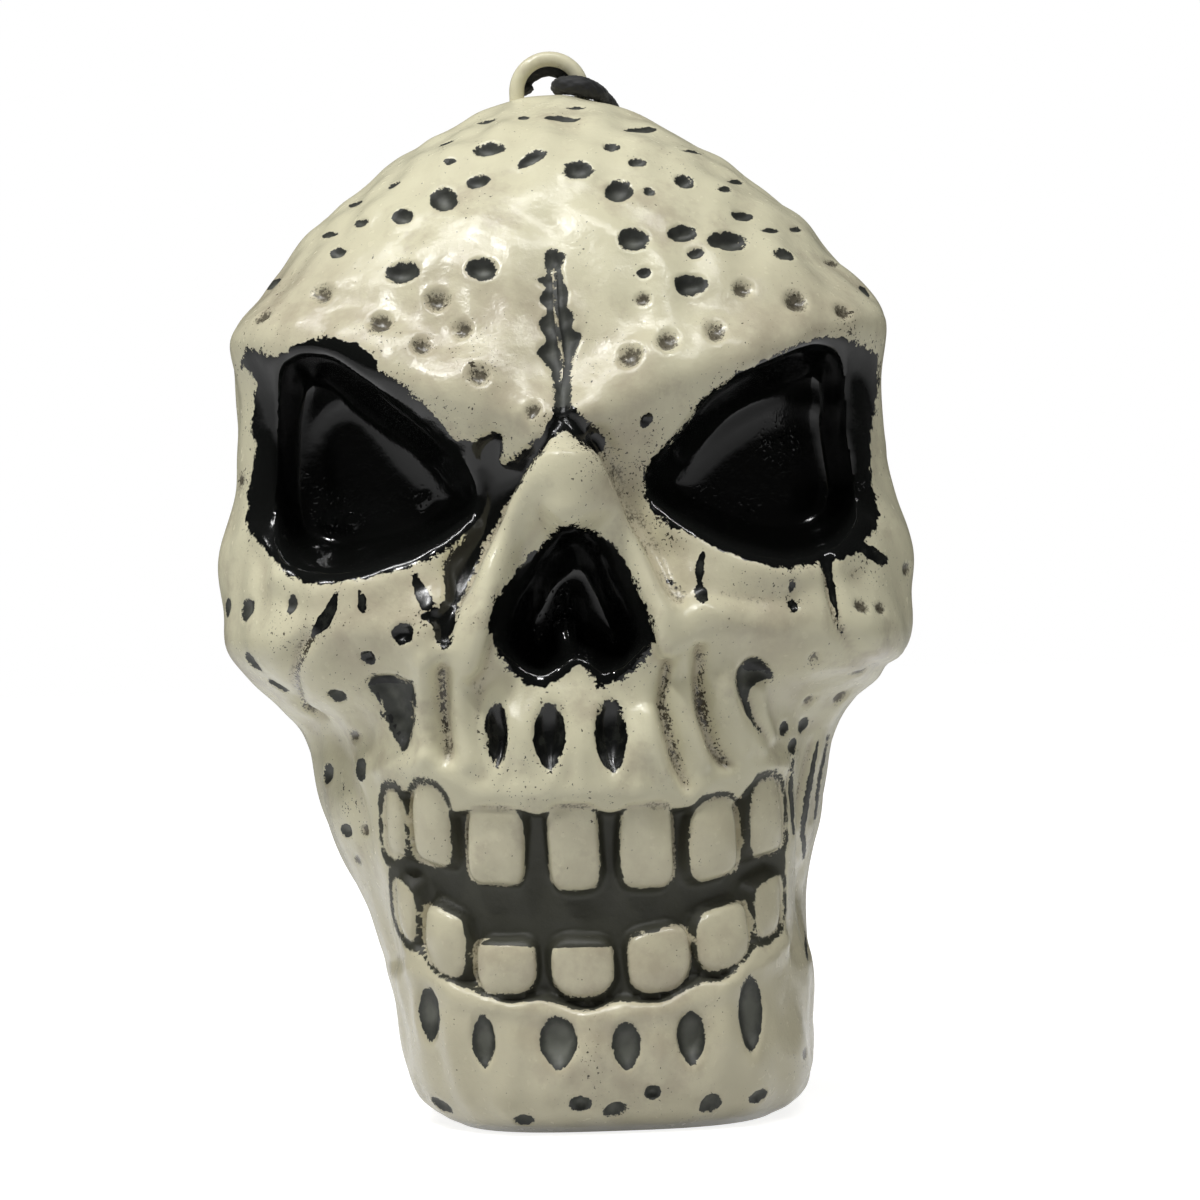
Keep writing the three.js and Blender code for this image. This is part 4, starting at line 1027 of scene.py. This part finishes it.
# Materials
class Nodes:
    """Short calls that build one material's node tree."""

    def __init__(self, name):
        self.material = bpy.data.materials.new(name)
        self.material.use_nodes = True
        self.tree = self.material.node_tree
        self.shader = self.tree.nodes["Principled BSDF"]
        self.place = self.tree.nodes.new("ShaderNodeTexCoord").outputs["Object"]

    def connect(self, value, socket):
        if isinstance(value, bpy.types.NodeSocket):
            self.tree.links.new(value, socket)
        else:
            socket.default_value = value

    def fill(self, node, sockets, values):
        for socket, value in zip(sockets, values):
            self.connect(value, node.inputs[socket])

    def math(self, operation, first, second):
        made = self.tree.nodes.new("ShaderNodeMath")
        made.operation = operation
        self.fill(made, (0, 1), (first, second))
        return made.outputs[0]

    def plus(self, first, second):
        return self.math("ADD", first, second)

    def times(self, first, second):
        return self.math("MULTIPLY", first, second)

    def most(self, first, second):
        return self.math("MAXIMUM", first, second)

    def noise(self, size, detail=2.0, roughness=0.5):
        """Noise from 0 to 1 with forms of about a size in millimetres."""
        made = self.tree.nodes.new("ShaderNodeTexNoise")
        sockets = ("Vector", "Scale", "Detail", "Roughness")
        self.fill(made, sockets, (self.place, 1 / (size * MM), detail, roughness))
        return made.outputs["Fac"]

    def attribute(self, name):
        made = self.tree.nodes.new("ShaderNodeAttribute")
        made.attribute_name = name
        return made.outputs["Fac"]

    def ramp(self, value, low, high, start=0.0, end=1.0):
        made = self.tree.nodes.new("ShaderNodeMapRange")
        made.interpolation_type = "SMOOTHSTEP"
        self.fill(made, range(5), (value, low, high, start, end))
        return made.outputs[0]

    def mix(self, share, first, second):
        made = self.tree.nodes.new("ShaderNodeMix")
        made.data_type = "RGBA"
        self.fill(made, (0, 6, 7), (share, first, second))
        return made.outputs[2]

    def bump(self, height, distance, strength=1.0, under=None):
        made = self.tree.nodes.new("ShaderNodeBump")
        self.fill(made, ("Height", "Distance", "Strength"), (height, distance * MM, strength))
        if under is not None:
            self.connect(under, made.inputs["Normal"])
        return made.outputs["Normal"]

    def set(self, **inputs):
        for name, value in inputs.items():
            self.connect(value, self.shader.inputs[name.replace("_", " ")])


def speck_share(n):
    """Fine and coarse specks, denser near the black paint and in the dusty patches."""
    near_black = n.ramp(n.attribute("black"), PAINT_REACH - 7, PAINT_REACH, 0.0, 0.05)
    dusted = n.plus(n.ramp(n.noise(11, 3), 0.45, 0.7, 0.0, 0.07), near_black)
    dusted = n.plus(dusted, n.times(n.attribute("dust"), 0.05))
    fine = n.ramp(n.plus(n.noise(0.6, 2, 0.5), dusted), 0.75, 0.77)
    coarse = n.ramp(n.plus(n.noise(1.5, 3, 0.6), dusted), 0.765, 0.78)
    return n.most(fine, coarse)


def stain_share(n, hollow_shade_amount):
    """Clouds of stain all over, painted shade in hollows, grime with painted shade in patches, and painted
    shade towards the base.
    """
    clouds = n.times(n.ramp(n.noise(17, 5, 0.65), 0.5, 0.72), 0.5)
    # Grime with painted shade, broken up by noise
    grime_and_shade = n.times(n.attribute("grime_and_shade"), n.ramp(n.noise(6, 4, 0.6), 0.3, 0.7, 0.25, 0.6))
    place = n.tree.nodes.new("ShaderNodeSeparateXYZ")
    n.connect(n.place, place.inputs[0])
    # Painted shade: darker towards the base, where less light falls
    low = n.ramp(place.outputs["Z"], 20 * MM, 90 * MM, 0.28, 0.0)
    return n.most(n.most(n.most(clouds, n.times(hollow_shade_amount, 0.45)), grime_and_shade), low)


def bone_paint():
    n = Nodes("bone_paint")
    fine, medium, broad = n.noise(0.7, 3, 0.65), n.noise(2.4, 3), n.noise(18, 3)
    ragged_fine, ragged_medium = n.plus(fine, -0.5), n.plus(medium, -0.5)
    fraying = n.ramp(n.noise(9, 2), 0.42, 0.62, 0.15, 1.0)

    def layer(name, fine_amount, medium_amount):
        """Where a layer of paint lies, with a ragged edge."""
        fray = n.times(n.times(ragged_fine, fine_amount), fraying)
        rough = n.plus(fray, n.times(ragged_medium, medium_amount))
        return n.ramp(n.plus(n.plus(n.attribute(name), -PAINT_REACH), rough), -0.12, 0.12)

    black, grey, mouth = layer("black", 3.8, 2.8), layer("grey", 3.2, 2.2), layer("mouth", 1.5, 0.9)
    grey_depth = n.plus(n.attribute("grey"), n.times(n.plus(n.noise(3.5, 3), -0.5), 5))
    grey_tone = n.mix(n.ramp(grey_depth, PAINT_REACH, PAINT_REACH + 5), GREY_EDGE, GREY)
    # Painted shade: darker the deeper a point lies in a hollow
    hollow_shade_amount = n.attribute("hollow_shade")
    rubbed = n.plus(n.times(ragged_fine, 1.1), n.times(n.plus(n.noise(5, 2), -0.5), 0.9))
    # The real wash, with painted shade in hollows added to it
    wash = n.plus(n.most(n.attribute("wash"), n.times(hollow_shade_amount, 0.42)), rubbed)
    satin = n.attribute("satin")
    mottled = n.times(n.ramp(satin, 0.5, 1), n.ramp(n.noise(3, 3), 0.45, 0.7, 0.0, 0.6))

    colour = n.mix(broad, BONE_DARK, BONE_LIGHT)
    # Stain, with painted shade in hollows, in patches and towards the base
    colour = n.mix(stain_share(n, hollow_shade_amount), colour, STAIN_AND_SHADE)
    colour = n.mix(n.times(n.ramp(wash, 0.36, 0.72), 0.88), colour, WASH_AND_SHADE)
    colour = n.mix(speck_share(n), colour, WASH_AND_SHADE)
    colour = n.mix(grey, colour, grey_tone)
    colour = n.mix(mouth, colour, MOUTH_GREY)
    colour = n.mix(black, colour, n.mix(mottled, BLACK, GREY_EDGE))
    matt = n.most(grey, mouth)
    dull = n.plus(n.plus(0.14, n.times(medium, 0.2)), n.times(matt, 0.28))
    gloss = n.ramp(black, 0, 1, 1, n.ramp(satin, 0, 1, 0.45, 1.0))
    grain = n.bump(fine, 0.12, n.ramp(black, 0, 1, 0.35, 0.1))
    uneven_skin = n.bump(medium, 0.3, n.ramp(black, 0, 1, 0.45, 0.15), grain)
    film = n.bump(n.most(black, matt), 0.07, 0.6, uneven_skin)
    drops = n.bump(n.ramp(n.noise(1.2, 1), 0.56, 0.74), 0.9, n.attribute("drops"), film)
    n.set(Base_Color=colour, Roughness=n.times(dull, gloss), Normal=drops, Specular_IOR_Level=0.45)
    return n.material


def cord_fabric():
    n = Nodes("cord_fabric")
    fibres = n.noise(0.25, 3, 0.7)
    n.set(Base_Color=n.mix(fibres, CORD_DARK, CORD_LIGHT), Roughness=n.ramp(fibres, 0, 1, 0.5, 0.8))
    n.set(Normal=n.bump(fibres, 0.08, 0.6), Sheen_Weight=0.15, Sheen_Roughness=0.4)
    return n.material


def screw_steel():
    n = Nodes("screw_steel")
    grain = n.noise(0.2, 3, 0.7)
    n.set(Base_Color=n.mix(n.noise(1.5, 2), STEEL_DARK, STEEL_LIGHT), Metallic=1.0)
    n.set(Roughness=n.ramp(grain, 0.2, 0.8, 0.25, 0.45), Normal=n.bump(grain, 0.02, 0.4))
    return n.material


# Pieces
def screw_places():
    for level, height in SCREW_HEIGHTS.items():
        room = section_width(height) - WALL - BOSS_MARGIN - BOSS_DIAMETER / 2
        for side, sign in (("left", -1), ("right", 1)):
            yield f"{level}_{side}", drift(height) + sign * room, height


def rods(name, diameter, start=-THROUGH, end=THROUGH):
    """Cylinders along Y at the places of the screws."""
    parts = [rod(diameter, (x, start, z), (x, end, z)) for _, x, z in screw_places()]
    return make_piece(name, *joined_parts(parts))


def cut_inside(piece, front, past_seam):
    """Hollows a half out to its wall, and leaves the bosses of the screws standing."""
    grid = skull_half(front, CAVITY_RINGS, CAVITY_COLUMNS, WALL)
    if front:
        hollow_behind_sockets(grid)
    hollow = half_mesh("hollow", grid, past_seam, SKULL_HEIGHT - WALL)
    combine(hollow, rods("bosses", BOSS_DIAMETER), "DIFFERENCE")
    combine(piece, hollow, "DIFFERENCE")


def cut_leg_holes(piece):
    """Cuts the holes for the loop's legs through the crown."""
    ends = [[(side * LOOP_LEG, 0, SKULL_HEIGHT + up) for up in (-12, 5)] for side in (-1, 1)]
    holes = [rod(LOOP_TUBE + CLEARANCE, *leg_ends) for leg_ends in ends]
    combine(piece, make_piece("leg_holes", *joined_parts(holes)), "DIFFERENCE")


def face_shell():
    grid = skull_half(True, FACE_RINGS, FACE_COLUMNS, ridged=True, density=FRONT_DENSITY)
    pits = sculpt_face(grid)
    piece = half_mesh("skull_face", grid, -SEAM, SKULL_HEIGHT)
    # Depth in hollows, which the paint turns into painted shade
    store(piece, "hollow_shade", hollow_shade(grid))
    cut_inside(piece, True, 2.0)
    combine(piece, rods("face_holes", SCREW_HOLE, -SCREW_GRIP - CLEARANCE), "DIFFERENCE")
    cut_leg_holes(piece)
    paint_face(piece, *pits)
    shade(piece, 55)
    return piece


def back_pits(grid):
    """The back's main pits, and small ones scattered between them that thin out downwards."""
    chance = np.random.default_rng(RANDOM_SEED + 1)
    across, up = along_surface(grid)
    rings, columns = grid.shape[:2]
    placed = place_pits(grid, BACK_PITS)
    for _ in range(2500):
        at = chance.integers(4, rings - 12), chance.integers(6, columns - 6)
        place = grid[at].copy()
        half = chance.choice([0.9, 1.2, 1.6, 2.0])
        room = 10 + 8 * (1 - smooth_step(60, 170, place[2]))
        if all(np.linalg.norm(place - other.place) > room for other in placed):
            placed.append(Pit(place, across[at], up[at], half * chance.uniform(0.9, 1.2), half * 0.85, 1.0))
    return placed


def seam_lip():
    """The back shell's lip, rooted in its wall, which reaches past the seam inside the face shell's edge."""
    outside, inside, root = WALL + 2 * CLEARANCE, WALL + 2 * CLEARANCE + LIP_THICKNESS, WALL - LIP_ROOT
    corners = ((outside, -LIP_HEIGHT), (outside, -SEAM_FILL), (root, -SEAM_FILL), (root, LIP_HEIGHT),
               (inside, LIP_HEIGHT), (inside, -LIP_HEIGHT))
    outlines = []
    for inset, y in corners:
        grid = skull_half(False, CAVITY_RINGS, 3, inset)
        outline = np.concatenate([grid[:, 0], [(0, 0, SKULL_HEIGHT - inset)], grid[::-1, -1]])
        outline[:, 1] = y
        outlines.append(outline)
    lip = make_piece("seam_lip", *skin(np.stack(outlines, axis=1), endless=True))
    combine(lip, rods("lip_gaps", BOSS_DIAMETER + 2 * CLEARANCE, end=SEAM), "DIFFERENCE")
    return lip


def back_shell():
    grid = skull_half(False, BACK_RINGS, BACK_COLUMNS)
    raise_surface(grid, uneven(grid, RANDOM_SEED + 2, BACK_WAVE), 10, 6)
    pits = back_pits(grid)
    sink_pits(grid, pits, PIT_SINK, PIT_RIM)
    piece = half_mesh("skull_back", grid, SEAM, SKULL_HEIGHT)
    # Depth in hollows, which the paint turns into painted shade
    store(piece, "hollow_shade", hollow_shade(grid))
    cut_inside(piece, False, -2.0)
    combine(piece, seam_lip(), "UNION")
    combine(piece, rods("back_wells", SCREW_HEAD + 2 * CLEARANCE, SCREW_SEAT), "DIFFERENCE")
    combine(piece, rods("back_holes", SCREW_HOLE), "DIFFERENCE")
    cut_leg_holes(piece)
    store_layer(piece, "grey", pit_paint(piece_points(piece), pits))
    shade(piece, 55)
    return piece


def hanging_loop():
    start = SKULL_HEIGHT - WALL - FOOT_DROP - FOOT_THICKNESS / 2
    bend = SKULL_HEIGHT + LOOP_RISE - LOOP_TUBE / 2 - LOOP_LEG
    rise = [(LOOP_LEG, 0, z) for z in np.linspace(start, bend, 16)[:-1]]
    turn = np.linspace(math.pi, 0, 41)
    arch = np.stack([LOOP_LEG * np.cos(turn), 0 * turn, bend + LOOP_LEG * np.sin(turn)], axis=1)
    path = np.concatenate([np.multiply(rise, (-1, 1, 1)), arch, rise[::-1]])
    piece = make_piece("skull_loop", *swept(path, np.full((len(path), LOOP_SIDES), LOOP_TUBE / 2), (0, 1, 0)))
    waves = np.cos(full_turn(FOOT_SIDES)), np.sin(full_turn(FOOT_SIDES))
    across, over = (np.sign(wave) * np.abs(wave) ** FOOT_SQUARENESS for wave in waves)
    rings = []
    for share, shrink in ((-0.5, FOOT_ROUNDING), (-0.35, 0), (0.35, 0), (0.5, FOOT_ROUNDING)):
        level = np.full(FOOT_SIDES, start + share * FOOT_THICKNESS)
        ring = (FOOT_LENGTH / 2 - shrink) * across, (FOOT_WIDTH / 2 - shrink) * over, level
        rings.append(np.stack(ring, axis=1))
    combine(piece, make_piece("loop_foot", *skin(rings)), "UNION")
    shade(piece, 50)
    return piece


def braided(name, path, swell, first_side):
    """A braided cord, where two sets of strands wind against each other over and under."""
    run = run_along(path)[:, None]
    turn = (np.arange(CORD_SIDES) / CORD_SIDES)[None, :] * BRAID_STRANDS
    first, second = turn + run / BRAID_PITCH, turn - run / BRAID_PITCH
    over = (np.floor(first) + np.floor(second)) % 2
    wave = np.where(over > 0, np.sin(math.pi * (first % 1)), np.sin(math.pi * (second % 1)))
    radii = CORD_DIAMETER / 2 * (1 - BRAID_RELIEF + BRAID_RELIEF * wave) * swell[:, None]
    piece = make_piece(name, *swept(path, radii, first_side))
    piece.data.shade_smooth()
    return piece


def leg_knot():
    """The cord's tied end, which lies along the arch, comes through the eye and goes round the leg at +X."""
    path = open_curve(KNOT_ROUTE + CORD_ROUTE[:1])
    lumps = np.random.default_rng(RANDOM_SEED + 3).uniform(-1, 1, (9, 2))
    along = np.linspace(0, 1, len(path))
    swell = 1 + KNOT_SWELL * np.exp(-((along - KNOT_THICKEST) / 0.14) ** 2)
    for step, (height, phase) in enumerate(lumps):
        swell += 0.035 * height * np.sin((4 + 3 * step) * along + 3 * phase)
    return braided("leg_knot_turns", path, swell, (0, 1, 0))


def end_knot():
    """The overhand stopper knot, which goes on from the cord's free end."""
    path = open_curve(np.array(END_KNOT) + CORD_ROUTE[-1])
    pulled_tight = 1 - 0.2 * smooth_step(0, 0.15, np.linspace(0, 1, len(path)))
    return braided("end_knot_turns", path, pulled_tight, (0, 1, 0))


def cross_screw(name, x, z):
    """A pan head screw with a cross recess, seen from behind."""
    seat, head, shank = SCREW_SEAT + CLEARANCE, SCREW_HEAD / 2, SCREW_DIAMETER / 2
    top = seat + SCREW_HEAD_HEIGHT
    profile = np.array([
        (shank * 0.4, -SCREW_GRIP), (shank, shank * 1.5 - SCREW_GRIP), (shank, seat), (head * 0.96, seat),
        (head, seat + 0.15), (head, seat + 0.9), (head * 0.93, seat + 1.4), (head * 0.75, seat + 1.85),
        (head * 0.45, top - 0.08), (0.05, top),
    ])
    path = [(x, along, z) for along in profile[:, 1]]
    piece = make_piece(name, *swept(path, profile[:, :1] * np.ones(SCREW_SIDES), (1, 0, 0)))
    arm, half = RECESS_ARM, RECESS_HALF_WIDTH
    corner, outline = [(half, arm), (half, half), (arm, half)], []
    for _ in range(4):
        outline += corner
        corner = [(b, -a) for a, b in corner]
    levels = ((RECESS_TAPER, top - RECESS_DEPTH), (1, top + 0.3))
    recess = [[(x + a * size, level, z + b * size) for a, b in outline] for size, level in levels]
    combine(piece, make_piece(name + "_recess", *skin(recess)), "DIFFERENCE")
    shade(piece, 35)
    return piece


# Camera
camera_data = bpy.data.cameras.new("camera")
camera = add("camera", camera_data)
camera.location = to_frame((CAMERA_X, -CAMERA_DISTANCE, CAMERA_Z))
camera.rotation_euler = (math.radians(90), math.radians(CAMERA_ROLL), 0)
camera_data.sensor_fit = "HORIZONTAL"
camera_data.angle = 2 * math.atan(FRAME_WIDTH / 2 / CAMERA_DISTANCE)
bpy.context.scene.camera = camera

# Cord, knots, shells, loop and screws
bone, fabric, steel = bone_paint(), cord_fabric(), screw_steel()


def finish_piece(piece, node, material):
    piece.data.materials.clear()
    piece.data.materials.append(material)
    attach(piece, "root")
    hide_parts(node)


knot, stopper = leg_knot(), end_knot()
cord_path = open_curve(CORD_ROUTE)
cord = braided("hang_cord_braid", cord_path, np.ones(len(cord_path)), (1, 0, 0))
for cord_piece, cord_node in ((cord, "hang_cord"), (knot, "cord_knot"), (stopper, "cord_end_knot")):
    finish_piece(cord_piece, cord_node, fabric)

for make in (face_shell, back_shell, hanging_loop):
    finish_piece(make(), make.__name__, bone)
for place_name, screw_x, screw_z in screw_places():
    screw = cross_screw(f"screw_{place_name}", screw_x, screw_z)
    finish_piece(screw, f"shell_screw_{place_name}", steel)


# Stage
def white_floor():
    """A floor that the camera sees as white with a shadow, and that gloss mirrors only near the skull."""
    corners = [(-FLOOR_REACH, -FLOOR_REACH, 0), (FLOOR_REACH, -FLOOR_REACH, 0), (FLOOR_REACH, FLOOR_REACH, 0),
               (-FLOOR_REACH, FLOOR_REACH, 0)]
    mesh = bpy.data.meshes.new("floor")
    mesh.from_pydata(corners, [], [(0, 1, 2, 3)])
    n = Nodes("floor_white")
    ray = n.tree.nodes.new("ShaderNodeLightPath").outputs
    away = n.tree.nodes.new("ShaderNodeVectorMath")
    away.operation = "LENGTH"
    n.connect(n.place, away.inputs[0])
    seen = n.times(ray["Is Camera Ray"], n.ramp(away.outputs["Value"], 0.2, 1.2, 0.82, 0.97))
    mirrored = n.times(ray["Is Glossy Ray"], n.ramp(away.outputs["Value"], 0.22, 0.5, 0.55, 0.03))
    n.set(Base_Color=FLOOR_GREY, Roughness=0.9)
    n.set(Emission_Color=WHITE, Emission_Strength=n.plus(seen, mirrored))
    mesh.materials.append(n.material)
    add("floor", mesh)


def studio_world():
    """White to the camera, and dim to everything else, most of all to gloss."""
    world = bpy.data.worlds.new("studio")
    bpy.context.scene.world = world
    world.use_nodes = True
    nodes, link = world.node_tree.nodes, world.node_tree.links.new
    backdrop, ray = nodes["Background"], nodes.new("ShaderNodeLightPath").outputs
    mirrored, seen = nodes.new("ShaderNodeMapRange"), nodes.new("ShaderNodeMapRange")
    backdrop.inputs["Color"].default_value = WHITE
    mirrored.inputs["To Min"].default_value = WORLD_LIGHT
    mirrored.inputs["To Max"].default_value = WORLD_MIRRORED
    link(ray["Is Glossy Ray"], mirrored.inputs["Value"])
    link(ray["Is Camera Ray"], seen.inputs["Value"])
    link(mirrored.outputs[0], seen.inputs["To Min"])
    link(seen.outputs[0], backdrop.inputs["Strength"])


def soft_light(name, place, aim_height, size, power, mirrored):
    data = bpy.data.lights.new(name, "AREA")
    data.shape = "RECTANGLE"
    data.size, data.size_y = size
    data.energy = power
    lamp = add(name, data)
    lamp.location = place
    ahead = np.array((0, 0, aim_height)) - place
    tilt = math.acos(-ahead[2] / np.linalg.norm(ahead))
    lamp.rotation_euler = (tilt, 0, math.atan2(ahead[1], ahead[0]) - math.pi / 2)
    lamp.visible_glossy = mirrored


white_floor()
studio_world()
for light in LIGHTS:
    soft_light(*light)
bpy.context.scene.view_settings.view_transform = "Standard"
